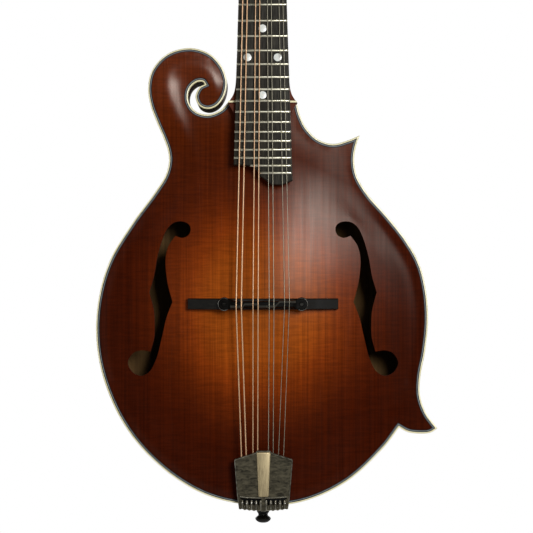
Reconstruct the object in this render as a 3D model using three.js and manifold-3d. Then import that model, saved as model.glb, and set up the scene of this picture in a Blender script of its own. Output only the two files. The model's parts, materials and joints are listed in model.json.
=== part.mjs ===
// An F-style mandolin: carved top and back, scroll and two body points, f-holes, adjustable
// bridge, cast tailpiece, and eight geared tuners.
// Millimetres. +Z runs up along the neck, the front faces -Y, +X is the treble side.
// The origin is the centre of the end pin's flat outer face.
import * as THREE from 'three';
import { mergeVertices } from 'three/addons/utils/BufferGeometryUtils.js';
import Module from 'manifold-3d';

const wasm = await Module();
wasm.setup();

// ---- driving dimensions --------------------------------------------------------------------
const GAP = 0.3;                       // between pieces that touch
const RIM_DEPTH = 44;                  // front rim edge to back rim edge
const FRONT = -RIM_DEPTH / 2;
const BACK = RIM_DEPTH / 2;
const PLATE = 4.2;                     // thickness of the carved plates
const TOP_CROWN = 15.5;
const BACK_CROWN = 13;
const RIB = 2;
const BINDING = 1.7;
const PURFLING = 1.6;
const LINING = 5;
const BLOCK_EDGE = RIB + GAP + 0.3;    // how far the blocks stay inside the outline

const SCALE_LENGTH = 352.4;            // 13 7/8 in
const BODY_FRET = 15;                  // the fret where the neck meets the body
const LAST_FRET = 23;
const NECK_X = -0.3;
const BODY_JOINT_Z = 322.1;
const NECK_RISE = 14;                  // fingerboard face above the rim at the body joint
const NECK_ANGLE = THREE.MathUtils.degToRad(5.5);
const HEAD_ANGLE = THREE.MathUtils.degToRad(14);
const BOARD = 5.5;                     // fingerboard thickness
const NUT_HALF = 14.3;
const NUT_THICK = 4.2;
const BRIDGE_Z = 169;
const SADDLE_RISE = 32.3;
const STRING_RISE = 33.1;              // string centre above the front rim, over the saddle

const HEAD_LENGTH = 158;
const HEAD_THICK = 15;
const VENEER = 2;
const POST_X = 15.5;
const POST_PITCH = 23;
const FIRST_POST = 38;
const POST_R = 3;
const GEAR_R = 5.5;
const WORM_R = 2.2;
const SHAFT_R = 1.5;
const WORM_OFFSET = GEAR_R + WORM_R + GAP;
const WORM_HALF = 6;                   // half the worm's length
const BUTTON_X = 49;                   // middle of a tuner button from the head's middle
const BUTTON = [6.5, 5, 8.2];          // its half axes
const BORE_GAP = 0.4;                  // round the tuner posts and shafts
const GEAR_Y = HEAD_THICK + 2.2;       // front face of the worm wheels, behind the plates
const GEAR_THICK = 3.6;
const SHAFT_Y = GEAR_Y + GEAR_THICK / 2;

const POST_SPREAD = 29;                // bridge posts either side of the middle
const SCREW_R = 1.9;
const WHEEL_R = 5.3;
const BASE_RISE = 22;                  // bridge base's top above the front rim at the posts
const SOCKET_RISE = 16.5;
const POST_TOP = 30.4;
const WHEEL_RISE = 23.6;               // wheel's underside, 1.3 mm of travel above the base
const WHEEL_THICK = 2;
const SADDLE_LOW = WHEEL_RISE + WHEEL_THICK + GAP;

// name, radius, x at the tailpiece, the saddle and the nut, tuner post counted from the nut
const STRINGS = [
  ['string_g1', 0.5, -16.4, -20.0, -12.4, 0],
  ['string_g2', 0.5, -12.8, -16.1, -9.2, 1],
  ['string_d1', 0.4, -7.6, -7.4, -4.3, 2],
  ['string_d2', 0.4, -4.0, -3.6, -1.5, 3],
  ['string_a1', 0.25, 4.1, 4.7, 2.9, 3],
  ['string_a2', 0.25, 7.7, 8.2, 5.5, 2],
  ['string_e1', 0.2, 11.8, 16.2, 10.1, 1],
  ['string_e2', 0.2, 15.7, 19.8, 12.7, 0],
];

// ---- materials -----------------------------------------------------------------------------
const finish = (color, roughness, metalness = 0) =>
  new THREE.MeshStandardMaterial({ color, roughness, metalness });
const SPRUCE = () => finish(0x8a4216, 0.4);
const MAPLE = () => finish(0x5a2810, 0.4);
const RAW_WOOD = () => finish(0xc9a878, 0.8);
const EBONY = () => finish(0x1c1815, 0.5);
const IVOROID = () => finish(0xe8dcb4, 0.4);
const PURFLE = () => finish(0x6a7680, 0.5);
const PEWTER = () => finish(0x5a584e, 0.45, 0.8);
const CHAMPAGNE = () => finish(0xb3a17a, 0.4, 0.6);
const NICKEL = () => finish(0xb8b6ac, 0.25, 1);
const BRONZE = () => finish(0xb9825a, 0.3, 1);
const STEEL = () => finish(0xa9a9a6, 0.3, 1);
const BONE = () => finish(0xe9e2cf, 0.5);

// ---- solids --------------------------------------------------------------------------------
function solidOf(geometry) {
  const plain = geometry.clone();
  plain.deleteAttribute('normal');
  plain.deleteAttribute('uv');
  const merged = mergeVertices(plain, 1e-4);
  return new wasm.Manifold(new wasm.Mesh({
    numProp: 3,
    vertProperties: new Float32Array(merged.attributes.position.array),
    triVerts: new Uint32Array(merged.index.array),
  }));
}

function geometryOf(solid) {
  const { vertProperties, triVerts } = solid.getMesh();
  const geometry = new THREE.BufferGeometry();
  geometry.setAttribute('position', new THREE.Float32BufferAttribute(vertProperties, 3));
  geometry.setIndex(Array.from(triVerts));
  geometry.computeVertexNormals();
  return geometry;
}

const join = (first, ...others) =>
  geometryOf(others.reduce((sum, next) => sum.add(solidOf(next)), solidOf(first)));
const cut = (body, ...tools) =>
  geometryOf(tools.reduce((rest, tool) => rest.subtract(solidOf(tool)), solidOf(body)));
const common = (first, second) => geometryOf(solidOf(first).intersect(solidOf(second)));

// A plate whose outline is drawn in X and Z and which spans front..back along Y.
function prism(points, front, back) {
  const shape = new THREE.Shape(points.map(([x, z]) => new THREE.Vector2(x, z)));
  const plate = new THREE.ExtrudeGeometry(shape, { depth: back - front, bevelEnabled: false });
  return plate.rotateX(Math.PI / 2).translate(0, back, 0);
}

function ring(outer, inner, front, back) {
  const shape = new THREE.Shape(outer.map(([x, z]) => new THREE.Vector2(x, z)));
  shape.holes.push(new THREE.Path(inner.map(([x, z]) => new THREE.Vector2(x, z))));
  const plate = new THREE.ExtrudeGeometry(shape, { depth: back - front, bevelEnabled: false });
  return plate.rotateX(Math.PI / 2).translate(0, back, 0);
}

const box = (x0, x1, y0, y1, z0, z1) =>
  new THREE.BoxGeometry(x1 - x0, y1 - y0, z1 - z0)
    .translate((x0 + x1) / 2, (y0 + y1) / 2, (z0 + z1) / 2);

// A turned piece: profile pairs are [radius, distance along the axis].
const turned = (profile, sides) =>
  new THREE.LatheGeometry(profile.map(([r, along]) => new THREE.Vector2(r, along)), sides);
const alongX = (geometry) => geometry.rotateZ(-Math.PI / 2);
const alongZ = (geometry) => geometry.rotateX(Math.PI / 2);

function rod(r, y0, y1, x, z, sides = 14) {
  return turned([[0, y0], [r, y0], [r, y1], [0, y1]], sides).translate(x, 0, z);
}

// A closed solid through cross-sections that all have the same number of points.
function loft(sections) {
  const count = sections[0].length;
  const position = sections.flat().flat();
  const index = [];
  for (let s = 0; s + 1 < sections.length; s += 1) {
    for (let i = 0; i < count; i += 1) {
      const a = s * count + i;
      const b = s * count + ((i + 1) % count);
      index.push(a, b, b + count, a, b + count, a + count);
    }
  }
  const last = (sections.length - 1) * count;
  for (let i = 1; i + 1 < count; i += 1) {
    index.push(0, i + 1, i);
    index.push(last, last + i, last + i + 1);
  }
  const geometry = new THREE.BufferGeometry();
  geometry.setAttribute('position', new THREE.Float32BufferAttribute(position, 3));
  geometry.setIndex(index);
  geometry.computeVertexNormals();
  return geometry;
}

// ---- body outline --------------------------------------------------------------------------
// Smooth stretches between corners, counter-clockwise seen from the front, as [x, z].
const LOW_CUSP = [103.4, 74.8];
const LOW_TIP = [132.7, 74];
const HIGH_TIP = [73.5, 296.9];
const NECK_TREBLE = [25.5, 322.3];
const NECK_BASS = [-26.4, 322.3];
const GAP_END = [-44.4, 335.8];
const TAIL = [0, 15.2];

const POINT_UNDERSIDE = [LOW_CUSP, [110.3, 71.2], [119.4, 70.1], [127, 70.7], LOW_TIP];
const TREBLE_SIDE = [LOW_TIP, [124, 85.9], [119.6, 98.7], [119.8, 113.9], [123.3, 132.2],
  [125.6, 156.5], [124, 179.3], [119, 199.1], [108.7, 217.4], [94.3, 235.6], [79.8, 252],
  [71.5, 266], [69.4, 278.2], [70.7, 288.1], HIGH_TIP];
const SHOULDER = [HIGH_TIP, [64.6, 293.2], [53.2, 290.5], [41.8, 293.9], [32.7, 302.9],
  [28.1, 312.6], NECK_TREBLE];
const SCROLL_GAP = [NECK_BASS, [-32.3, 316.2], [-41.8, 312.8], [-50.4, 314.8], [-55, 319.3],
  [-57, 325.3], [-56.1, 331.4], [-53.6, 335.1], [-49.4, 337.7], [-45.6, 337.5], GAP_END];
const SCROLL = [GAP_END, [-47.8, 334.1], [-50.9, 328.8], [-51.3, 325.3], [-48.3, 319.3],
  [-41.8, 317], [-34.8, 319.7], [-29.5, 327.1], [-27.5, 336.3], [-28.2, 341.5],
  [-31.6, 349.7], [-40.3, 358.8], [-55.5, 363.4], [-73, 358.8], [-84.4, 346.6],
  [-87.5, 332.9], [-85.5, 319.3]];
const BASS_SIDE = [[-80.9, 307.1], [-75.7, 294.9], [-72.5, 285.8], [-71.6, 277.4],
  [-74.3, 266.4], [-82.1, 253.9], [-99.6, 230], [-116.4, 202.1], [-124.7, 174.8],
  [-127, 146.6], [-122.8, 117], [-109.5, 83.5], [-90.5, 57.1], [-63.1, 33.9], [-35.7, 20.7]];
const TREBLE_BOUT = [[32.7, 19.1], [64.6, 34.3], [92, 59.7], LOW_CUSP];

function smoothCurve(points, steps) {
  const knots = points.map(([x, z]) => new THREE.Vector3(x, 0, z));
  const curve = new THREE.CatmullRomCurve3(knots, false, 'centripetal');
  return curve.getPoints((points.length - 1) * steps).map((p) => [p.x, p.z]);
}

const stretches = [
  smoothCurve(POINT_UNDERSIDE, 1),
  smoothCurve(TREBLE_SIDE, 1),
  smoothCurve(SHOULDER, 1),
  smoothCurve(SCROLL_GAP, 1),
  smoothCurve([...SCROLL, ...BASS_SIDE, TAIL, ...TREBLE_BOUT], 1),
];
const outline = [];
for (const stretch of stretches) {
  const [x, z] = stretch[0];
  const end = outline.at(-1);
  if (end && Math.hypot(end[0] - x, end[1] - z) < 1e-6) outline.pop();
  outline.push(...stretch);
}
outline.pop();

// The outline moved inwards; corners keep their mitres.
function inset(points, distance, closed = true) {
  const count = points.length;
  return points.map(([x, z], i) => {
    const [x0, z0] = points[closed ? (i + count - 1) % count : Math.max(i - 1, 0)];
    const [x1, z1] = points[closed ? (i + 1) % count : Math.min(i + 1, count - 1)];
    const before = new THREE.Vector2(x - x0, z - z0).normalize();
    const after = new THREE.Vector2(x1 - x, z1 - z).normalize();
    const inward = new THREE.Vector2(-before.y - after.y, before.x + after.x).normalize();
    const edge = before.lengthSq() > 0 ? before : after;
    const mitre = inward.dot(new THREE.Vector2(-edge.y, edge.x));
    return [x + (inward.x * distance) / mitre, z + (inward.y * distance) / mitre];
  });
}

const nearest = ([x, z]) => outline.reduce((best, [px, pz], i) => {
  const away = Math.hypot(px - x, pz - z);
  return away < best.away ? { away, i } : best;
}, { away: Infinity, i: 0 }).i;

// The stretch of a list like the outline from one of its points to another, going forwards.
function stretchOf(points, from, to) {
  const start = nearest(from);
  const count = (nearest(to) - start + points.length) % points.length;
  return Array.from({ length: count + 1 }, (_, k) => points[(start + k) % points.length]);
}

function edgeDistance(x, z) {
  let best = Infinity;
  outline.forEach(([x0, z0], i) => {
    const [x1, z1] = outline[(i + 1) % outline.length];
    const along = ((x - x0) * (x1 - x0) + (z - z0) * (z1 - z0))
      / ((x1 - x0) ** 2 + (z1 - z0) ** 2);
    const t = THREE.MathUtils.clamp(along, 0, 1);
    best = Math.min(best, Math.hypot(x - x0 - t * (x1 - x0), z - z0 - t * (z1 - z0)));
  });
  return best;
}

// ---- carved plates -------------------------------------------------------------------------
const ARCH = { z: 165, across: 112, down: 135, up: 175, flat: 3, full: 24 };

function archRise(x, z, crown) {
  const reach = z < ARCH.z ? ARCH.down : ARCH.up;
  const radius = Math.min(1, Math.hypot(x / ARCH.across, (z - ARCH.z) / reach));
  const dome = 0.5 * (1 + Math.cos(Math.PI * radius));
  return crown * dome * THREE.MathUtils.smoothstep(edgeDistance(x, z), ARCH.flat, ARCH.full);
}

const topFace = (x, z) => FRONT - archRise(x, z, TOP_CROWN);
const backFace = (x, z) => BACK + archRise(x, z, BACK_CROWN);

const GRID = { x0: -140, x1: 145, z0: 5, z1: 375, columns: 12, rows: 15 };

// A slab over the whole body between two surfaces, each given as y(x, z).
function slab(frontFace, rearFace) {
  const { x0, x1, z0, z1, columns, rows } = GRID;
  const position = [];
  for (const face of [frontFace, rearFace]) {
    for (let r = 0; r <= rows; r += 1) {
      for (let c = 0; c <= columns; c += 1) {
        const x = x0 + ((x1 - x0) * c) / columns;
        const z = z0 + ((z1 - z0) * r) / rows;
        position.push(x, face(x, z), z);
      }
    }
  }
  const width = columns + 1;
  const rear = width * (rows + 1);
  const index = [];
  const quad = (a, b, c, d) => index.push(a, b, c, a, c, d);
  for (let r = 0; r < rows; r += 1) {
    for (let c = 0; c < columns; c += 1) {
      const i = r * width + c;
      quad(i, i + 1, i + 1 + width, i + width);
      quad(rear + i, rear + i + width, rear + i + 1 + width, rear + i + 1);
    }
    const left = r * width;
    const right = left + columns;
    quad(left, left + width, rear + left + width, rear + left);
    quad(right, rear + right, rear + right + width, right + width);
  }
  for (let c = 0; c < columns; c += 1) {
    const high = rows * width + c;
    quad(c, rear + c, rear + c + 1, c + 1);
    quad(high, high + 1, rear + high + 1, rear + high);
  }
  const geometry = new THREE.BufferGeometry();
  geometry.setAttribute('position', new THREE.Float32BufferAttribute(position, 3));
  geometry.setIndex(index);
  return geometry;
}

// One f-hole, from its inner top lobe round the outside; the other is its mirror image.
const F_HOLE = [[-54.8, 225.4], [-56.3, 229.2], [-61.2, 231.4], [-67.6, 230.5], [-72.6, 226],
  [-76.6, 217.2], [-80.3, 204], [-82.9, 189.5], [-86.4, 177.7], [-82.9, 164], [-82.3, 157],
  [-82.6, 143.5], [-85.4, 132.6], [-92.4, 133.5], [-98.5, 131.5], [-102.9, 124], [-99, 116.5],
  [-92.5, 114.1], [-86.4, 117.2], [-81, 127.2], [-76.6, 144], [-73.1, 158.6], [-68.6, 170.3],
  [-72.6, 186], [-73.9, 203.4], [-71.6, 213], [-66.5, 220.4], [-61, 218.9], [-56.3, 221.2]];
const mirrored = (points) => points.map(([x, z]) => [-x, z]).reverse();

const plateOutline = inset(outline, BINDING + PURFLING + 2 * GAP);
const binding = (front, back) => ring(outline, inset(outline, BINDING), front, back);
const RIB_FRONT = FRONT + PLATE + GAP;
const RIB_BACK = BACK - PLATE - GAP;

function topPlate() {
  const inner = (x, z) => topFace(x, z) + PLATE;
  const blank = common(slab(topFace, inner), prism(plateOutline, FRONT - 30, BACK));
  const holes = [F_HOLE, mirrored(F_HOLE)].map((hole) => prism(hole, FRONT - 30, BACK));
  return cut(blank, ...holes);
}

function backPlate() {
  const inner = (x, z) => backFace(x, z) - PLATE;
  const wide = inset(outline, BINDING + GAP);
  return common(slab(inner, backFace), prism(wide, FRONT, BACK + 30));
}

// ---- ribs, linings and blocks --------------------------------------------------------------
const blockEdge = inset(outline, BLOCK_EDGE);
const ribInside = inset(outline, RIB);
const END_PIN_R = 3.4;
const endPinHole = () =>
  alongZ(turned([[0, 0], [END_PIN_R + GAP, 0], [END_PIN_R + GAP, 60], [0, 60]], 16));

function rib(from, to, seam) {
  const outer = stretchOf(outline, from, to);
  const inner = stretchOf(ribInside, from, to);
  const band = prism([...outer, ...inner.reverse()], RIB_FRONT, RIB_BACK);
  return cut(band, endPinHole(), seam);
}

const trebleRib = () => rib(TAIL, NECK_TREBLE, box(-5, GAP / 2, FRONT, BACK, 0, 30));
const bassRib = () => rib(NECK_BASS, TAIL, box(-GAP / 2, 5, FRONT, BACK, 0, 30));

const block = (points) => prism(points, RIB_FRONT + GAP, RIB_BACK - GAP);
const HEAD_BLOCK_BASS = [-75.7, 294.9];
const HEAD_BLOCK_TREBLE = [41.8, 293.9];
const headBlock = () => block([
  ...stretchOf(blockEdge, HEAD_BLOCK_TREBLE, NECK_TREBLE),
  ...stretchOf(blockEdge, NECK_BASS, HEAD_BLOCK_BASS),
  [-30, 300], [0, 292], [25, 290]]);

const TAIL_BLOCK_TOP = 38;
const tailBlock = () => cut(block([
  ...stretchOf(blockEdge, [-35.7, 20.7], [32.7, 19.1]),
  [32.7, TAIL_BLOCK_TOP], [-35.7, TAIL_BLOCK_TOP]]), endPinHole());

const POINT_LOW_START = [92, 59.7];
const POINT_LOW_END = [119.8, 113.9];
const POINT_HIGH_START = [69.4, 278.2];
const POINT_HIGH_END = [53.2, 290.5];
const pointBlock = (from, to) => block(stretchOf(blockEdge, from, to));

// Linings run along the ribs from block to block, straight across the insides of the points.
const liningEdge = inset(outline, BLOCK_EDGE + GAP);
const liningBass = stretchOf(liningEdge, [-72.5, 285.8], [-63.1, 33.9]);
const liningTreble = [
  ...stretchOf(liningEdge, [64.6, 34.3], POINT_LOW_START),
  ...stretchOf(liningEdge, POINT_LOW_END, [71.5, 266]),
];

function lining(edge, front, back) {
  return prism([...edge, ...inset(edge, LINING, false).reverse()], front, back);
}

const LINING_DEPTH = 7;
const liningTop = (edge) => lining(edge, RIB_FRONT + GAP, RIB_FRONT + LINING_DEPTH);
const liningBack = (edge) => lining(edge, RIB_BACK - LINING_DEPTH, RIB_BACK - GAP);

// Tone bars under the top: the bass bar is longer and lies further from the middle.
function toneBar(xLow, xHigh, zLow, zHigh) {
  const stations = 7;
  const width = 6;
  const depth = 11;
  const sections = [];
  for (let s = 0; s < stations; s += 1) {
    const t = s / (stations - 1);
    const x = THREE.MathUtils.lerp(xLow, xHigh, t);
    const z = THREE.MathUtils.lerp(zLow, zHigh, t);
    const front = Math.max(topFace(x - width / 2, z), topFace(x + width / 2, z)) + PLATE + 1;
    const rear = front + 2 + (depth - 2) * Math.sin(Math.PI * t);
    sections.push([[x - width / 2, front, z], [x + width / 2, front, z],
      [x + width / 2, rear, z], [x - width / 2, rear, z]]);
  }
  return loft(sections);
}

// ---- neck ----------------------------------------------------------------------------------
// The neck's own frame has y = 0 on the fingerboard's face and z = 0 at the body fret.
const fretAt = (n) => SCALE_LENGTH * (2 ** (-n / 12) - 2 ** (-BODY_FRET / 12));
const NUT_Z = fretAt(0);
const NECK_TOP = BOARD + GAP;          // the neck's glue face under the fingerboard
const halfWidthAt = (z) => NUT_HALF + ((NUT_Z - z) * (20.4 - NUT_HALF)) / NUT_Z;

const neckFrame = new THREE.Group();
neckFrame.position.set(NECK_X, FRONT - NECK_RISE, BODY_JOINT_Z);
neckFrame.rotation.x = -NECK_ANGLE;
const headFrame = new THREE.Group();
headFrame.position.set(0, 3, NUT_Z + NUT_THICK + GAP);
headFrame.rotation.x = -HEAD_ANGLE;
neckFrame.add(headFrame);
neckFrame.updateMatrixWorld(true);

function neckSection(z, half, depth) {
  const points = [[-half, NECK_TOP, z], [half, NECK_TOP, z]];
  const arcs = 8;
  for (let k = 0; k <= arcs; k += 1) {
    const angle = (Math.PI * k) / arcs;
    points.push([half * Math.cos(angle), NECK_TOP + 1.5 + depth * Math.sin(angle), z]);
  }
  return points;
}

// Half of the headstock's edge from the nut to its crown, as [x, z] in the head's own frame.
const HEAD_SIDE = [[NUT_HALF + 0.7, -4], [16.5, 7], [21.5, 14.5], [29.5, 20], [32, 32],
  [31.2, 60], [31.6, 90], [34.5, 116], [39, 133], [37, 145], [27, 147.5], [15, 146], [7, 151],
  [0, HEAD_LENGTH]];
const headSide = smoothCurve(HEAD_SIDE, 2);
const headOutline = [...headSide, ...headSide.slice(0, -1).map(([x, z]) => [-x, z]).reverse()];

const HEEL = [[-6, 30, 46], [0, 26, 45], [3, 23.6, 42], [6, 21.9, 37], [10, 20.9, 30],
  [18, 20, 20.5], [30, 19.5, 16.5]];
const ROD_Y = 10.2;
const ROD_R = 2.3;
const ROD_NUT_R = 3.1;
const ROD_NUT_Z = NUT_Z + NUT_THICK + 6;
const postPlaces = [0, 1, 2, 3].map((i) => FIRST_POST + i * POST_PITCH);

function neck() {
  const shaft = [60, 120, 180, NUT_Z + NUT_THICK]
    .map((z) => neckSection(z, halfWidthAt(z) - 0.3, 14.6 - z / 100));
  const handle = loft([...HEEL.map(([z, half, depth]) => neckSection(z, half, depth)), ...shaft]);
  const head = prism(headOutline, VENEER + GAP, HEAD_THICK).applyMatrix4(headFrame.matrix);
  const bodySide = box(-60, 60, -120, 120, BODY_JOINT_Z - 60, NECK_BASS[1] + GAP)
    .applyMatrix4(neckFrame.matrixWorld.clone().invert());
  const channel = box(-ROD_R - GAP, ROD_R + GAP, 0, ROD_Y + ROD_R + GAP, 12, NUT_Z + 12);
  const pocket = box(-4.6, 4.6, -4, ROD_Y + ROD_NUT_R + 1, NUT_Z + NUT_THICK + 3, NUT_Z + 24);
  const nutSeat = box(-60, 60, -20, NECK_TOP, NUT_Z - 30, NUT_Z + NUT_THICK + GAP);
  const bores = postPlaces.flatMap((z) => [-POST_X, POST_X].map((x) =>
    rod(POST_R + BORE_GAP, -5, 30, x, z).applyMatrix4(headFrame.matrix)));
  return cut(join(handle, head), bodySide, nutSeat, channel, pocket, ...bores);
}

function headstockFace() {
  const plate = prism(headOutline, 0, VENEER);
  const bores = postPlaces.flatMap((z) => [-POST_X, POST_X].map((x) =>
    rod(POST_R + BORE_GAP, -5, 30, x, z)));
  const pocket = box(-4.6, 4.6, -5, 5, 1.5, 19);
  return cut(plate, box(-40, 40, -5, 5, -10, GAP), pocket, ...bores);
}

function trussRod() {
  return alongZ(turned([[0, 14], [ROD_R, 14], [ROD_R, ROD_NUT_Z - GAP], [0, ROD_NUT_Z - GAP]],
    10)).translate(0, ROD_Y, 0);
}

function trussRodNut() {
  return alongZ(turned([[0, 0], [ROD_NUT_R, 0], [ROD_NUT_R, 7], [0, 7]], 6))
    .translate(0, ROD_Y, ROD_NUT_Z);
}

function trussRodCover() {
  const half = [[7, 1.2], [8, 5], [9, 11], [7.5, 18], [5, 24], [3, 29], [0, 31]];
  return prism([...half, ...half.slice(0, -1).map(([x, z]) => [-x, z]).reverse()],
    -GAP - 1.6, -GAP);
}

// The fingerboard's end steps down and back to the treble side, where the last frets are short.
const BOARD_END = [[-21.7, -48.5], [-14.7, -48.5], [-10.2, -49.3], [-4.4, -52.4], [-2.4, -56.3],
  [1.6, -59.4], [6.8, -63.4], [14.8, -63.4], [18.9, -61.7], [22.6, -60.3]];
const SHORT_FRETS = { 22: -9.4, 23: -2 };
const FRET_HALF = 0.5;
const FRET_HIGH = 1;

function fingerboard() {
  const board = prism([...BOARD_END, [NUT_HALF, NUT_Z - GAP], [-NUT_HALF, NUT_Z - GAP]], 0, BOARD);
  const frets = [];
  for (let n = 1; n <= LAST_FRET; n += 1) {
    const z = fretAt(n);
    const right = halfWidthAt(z) - 0.2;
    const left = SHORT_FRETS[n] ?? -right;
    frets.push(box(left, right, -FRET_HIGH, 0.3, z - FRET_HALF, z + FRET_HALF));
  }
  return join(board, ...frets);
}

const nut = () => box(-NUT_HALF, NUT_HALF, -0.5, BOARD, NUT_Z, NUT_Z + NUT_THICK);

// The wood between the top and the raised end of the fingerboard, flared where the neck lands.
function riser() {
  const edge = [[-26, 321.9], [-23, 316.5], [-21.2, 312], [-21, 300], [-21.5, 274.5],
    [-14, 274.5], [-8, 272], [0, 265], [8, 260.5], [20, 262], [20.6, 300], [20.8, 312],
    [22.6, 316.5], [25.2, 321.9]].reverse();
  const wood = prism(edge, FRONT - 40, FRONT + 5);
  const clearance = slab((x, z) => topFace(x, z) - GAP, () => BACK);
  const above = box(-80, 80, -100, NECK_TOP, -120, 60).applyMatrix4(neckFrame.matrixWorld);
  return cut(wood, clearance, above);
}

// ---- tuners, in the head's frame -----------------------------------------------------------
function tunerPlate(side) {
  const inner = side * 4.5;
  const outer = side * 27;
  const low = Math.min(inner, outer);
  const high = Math.max(inner, outer);
  const face = HEAD_THICK + GAP;
  let plate = box(low, high, face, face + 1.2, FIRST_POST - 10, postPlaces[3] + 17);
  const ears = [];
  const tools = [];
  for (const z of postPlaces) {
    tools.push(rod(POST_R + BORE_GAP, 0, 30, side * POST_X, z));
    for (const reach of [-9.3, 9.3]) {
      const x = side * (POST_X + reach);
      const mid = z + WORM_OFFSET;
      ears.push(box(x - 1, x + 1, face + 0.6, SHAFT_Y + 3.2, mid - 3, mid + 3));
    }
    const bore = SHAFT_R + BORE_GAP;
    tools.push(alongX(turned([[0, -40], [bore, -40], [bore, 40], [0, 40]], 8))
      .translate(0, SHAFT_Y, z + WORM_OFFSET));
  }
  plate = join(plate, ...ears);
  return cut(plate, ...tools);
}

function tunerPost() {
  return turned([[0, -17], [POST_R, -17], [POST_R, GEAR_Y], [GEAR_R, GEAR_Y],
    [GEAR_R, GEAR_Y + GEAR_THICK], [0, GEAR_Y + GEAR_THICK]], 12);
}

// Worm, shaft and oval button, turning about X; drawn for the treble side.
function tunerKnob() {
  const shaft = alongX(turned([[0, POST_X - 2 * WORM_HALF], [SHAFT_R, POST_X - 2 * WORM_HALF],
    [SHAFT_R, POST_X - WORM_HALF], [WORM_R, POST_X - WORM_HALF], [WORM_R, POST_X + WORM_HALF],
    [SHAFT_R, POST_X + WORM_HALF], [SHAFT_R, 40], [2.6, 41], [2.6, 44], [0, 44]], 8));
  const button = new THREE.SphereGeometry(1, 10, 6).scale(...BUTTON).translate(BUTTON_X, 0, 0);
  return join(shaft, button);
}

// ---- bridge --------------------------------------------------------------------------------
const BRIDGE_HALF = 56.8;
const BRIDGE_WIDE = 8.3;

function bridgeBase() {
  const half = [[POST_SPREAD, BASE_RISE], [36, 20.6], [45, 17.6], [BRIDGE_HALF, 13.6]];
  const rise = [...mirrored(half), [-20, 21.4], [0, 21], [20, 21.4], ...half];
  const z0 = BRIDGE_Z - BRIDGE_WIDE / 2;
  const z1 = BRIDGE_Z + BRIDGE_WIDE / 2;
  const beam = loft(rise.map(([x, h]) => [[x, FRONT - h, z0], [x, FRONT - 2, z0],
    [x, FRONT - 2, z1], [x, FRONT - h, z1]]));
  const clearance = slab((x, z) => topFace(x, z) - GAP, () => BACK);
  const sockets = [-POST_SPREAD, POST_SPREAD].map((x) =>
    rod(SCREW_R + GAP, FRONT - 40, FRONT - SOCKET_RISE, x, BRIDGE_Z, 12));
  return cut(beam, clearance, ...sockets);
}

const bridgePost = () =>
  rod(SCREW_R, FRONT - POST_TOP, FRONT - SOCKET_RISE - GAP, 0, BRIDGE_Z, 12);

function thumbwheel() {
  const near = FRONT - WHEEL_RISE - WHEEL_THICK;
  const disc = rod(WHEEL_R, near, FRONT - WHEEL_RISE, 0, BRIDGE_Z, 20);
  return cut(disc, rod(SCREW_R + GAP, near - 5, FRONT, 0, BRIDGE_Z, 12));
}

// The crest is staggered so that each pair of strings leaves it where it plays in tune.
const SADDLE_CREST = [[-24, -1.7], [-15, -1.7], [-13.8, 0], [-4, 0], [-2.5, -1.6], [9, -1.6],
  [12.5, 1.8], [24, 1.8]];

function crestShift(x) {
  const next = SADDLE_CREST.findIndex(([end]) => end >= x);
  const [x0, shift0] = SADDLE_CREST[next - 1];
  const [x1, shift1] = SADDLE_CREST[next];
  return THREE.MathUtils.mapLinear(x, x0, x1, shift0, shift1);
}

function bridgeSaddle() {
  const low = FRONT - SADDLE_LOW;
  const end = POST_SPREAD + 4;
  const beam = loft([[-end, 29.2], [-26, 29.6], [-22, 31.4], [0, 31.8], [22, 31.4], [26, 29.6],
    [end, 29.2]].map(([x, h]) => [[x, FRONT - h, BRIDGE_Z - 3.4], [x, low, BRIDGE_Z - 3.4],
    [x, low, BRIDGE_Z + 3.4], [x, FRONT - h, BRIDGE_Z + 3.4]]));
  const crest = loft(SADDLE_CREST.map(([x, shift]) => {
    const z = BRIDGE_Z + shift;
    return [[x, FRONT - SADDLE_RISE, z - 1], [x, FRONT - 29, z - 1.4],
      [x, FRONT - 29, z + 1.4], [x, FRONT - SADDLE_RISE, z + 1]];
  }));
  const bores = [-POST_SPREAD, POST_SPREAD].map((x) =>
    rod(SCREW_R + GAP, FRONT - 40, FRONT, x, BRIDGE_Z, 12));
  return cut(join(beam, crest), ...bores);
}

// ---- tailpiece and end pin -----------------------------------------------------------------
const TAIL_X = 0.4;
const TAIL_TILT = Math.atan2(5, 46);
const TAIL_RISE = 9;                   // front of the plate above the rim at its low end
const TAIL_LOW = 12;
const SLOT_X = [-14.3, -10.8, -7.3, -3.8, 3.8, 7.3, 10.8, 14.3];
const tailFrame = new THREE.Group();
tailFrame.position.set(TAIL_X, FRONT - TAIL_RISE, TAIL_LOW);
tailFrame.rotation.x = TAIL_TILT;
tailFrame.updateMatrixWorld(true);

function tailpiece() {
  const half = [[0, 0], [10, 0.7], [18.8, 2.4], [20, 12], [22.1, 39], [5.6, 45], [5.4, 46.4],
    [0, 46.4]];
  const left = half.slice(1, -1).map(([x, z]) => [-x, z]).reverse();
  const plate = prism([...half, ...left], 0, 3);
  const slots = SLOT_X.map((x) => box(x - 0.7, x + 0.7, -5, 10, 5, 11));
  const hanger = join(box(-16, 16, FRONT - 8, 10, TAIL_LOW, TAIL[1] - GAP),
    box(-13, 13, FRONT - 8, FRONT - 2, TAIL_LOW, TAIL[1] + 2)).translate(TAIL_X, 0, 0)
    .applyMatrix4(tailFrame.matrixWorld.clone().invert());
  const pin = endPinHole().applyMatrix4(tailFrame.matrixWorld.clone().invert());
  return cut(join(plate, hanger), pin, ...slots);
}

const tailpieceInlay = () => prism([[-3.9, 11.2], [3.9, 11.2], [5.4, 45.2], [-5.4, 45.2]],
  -GAP - 1, -GAP);

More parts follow.
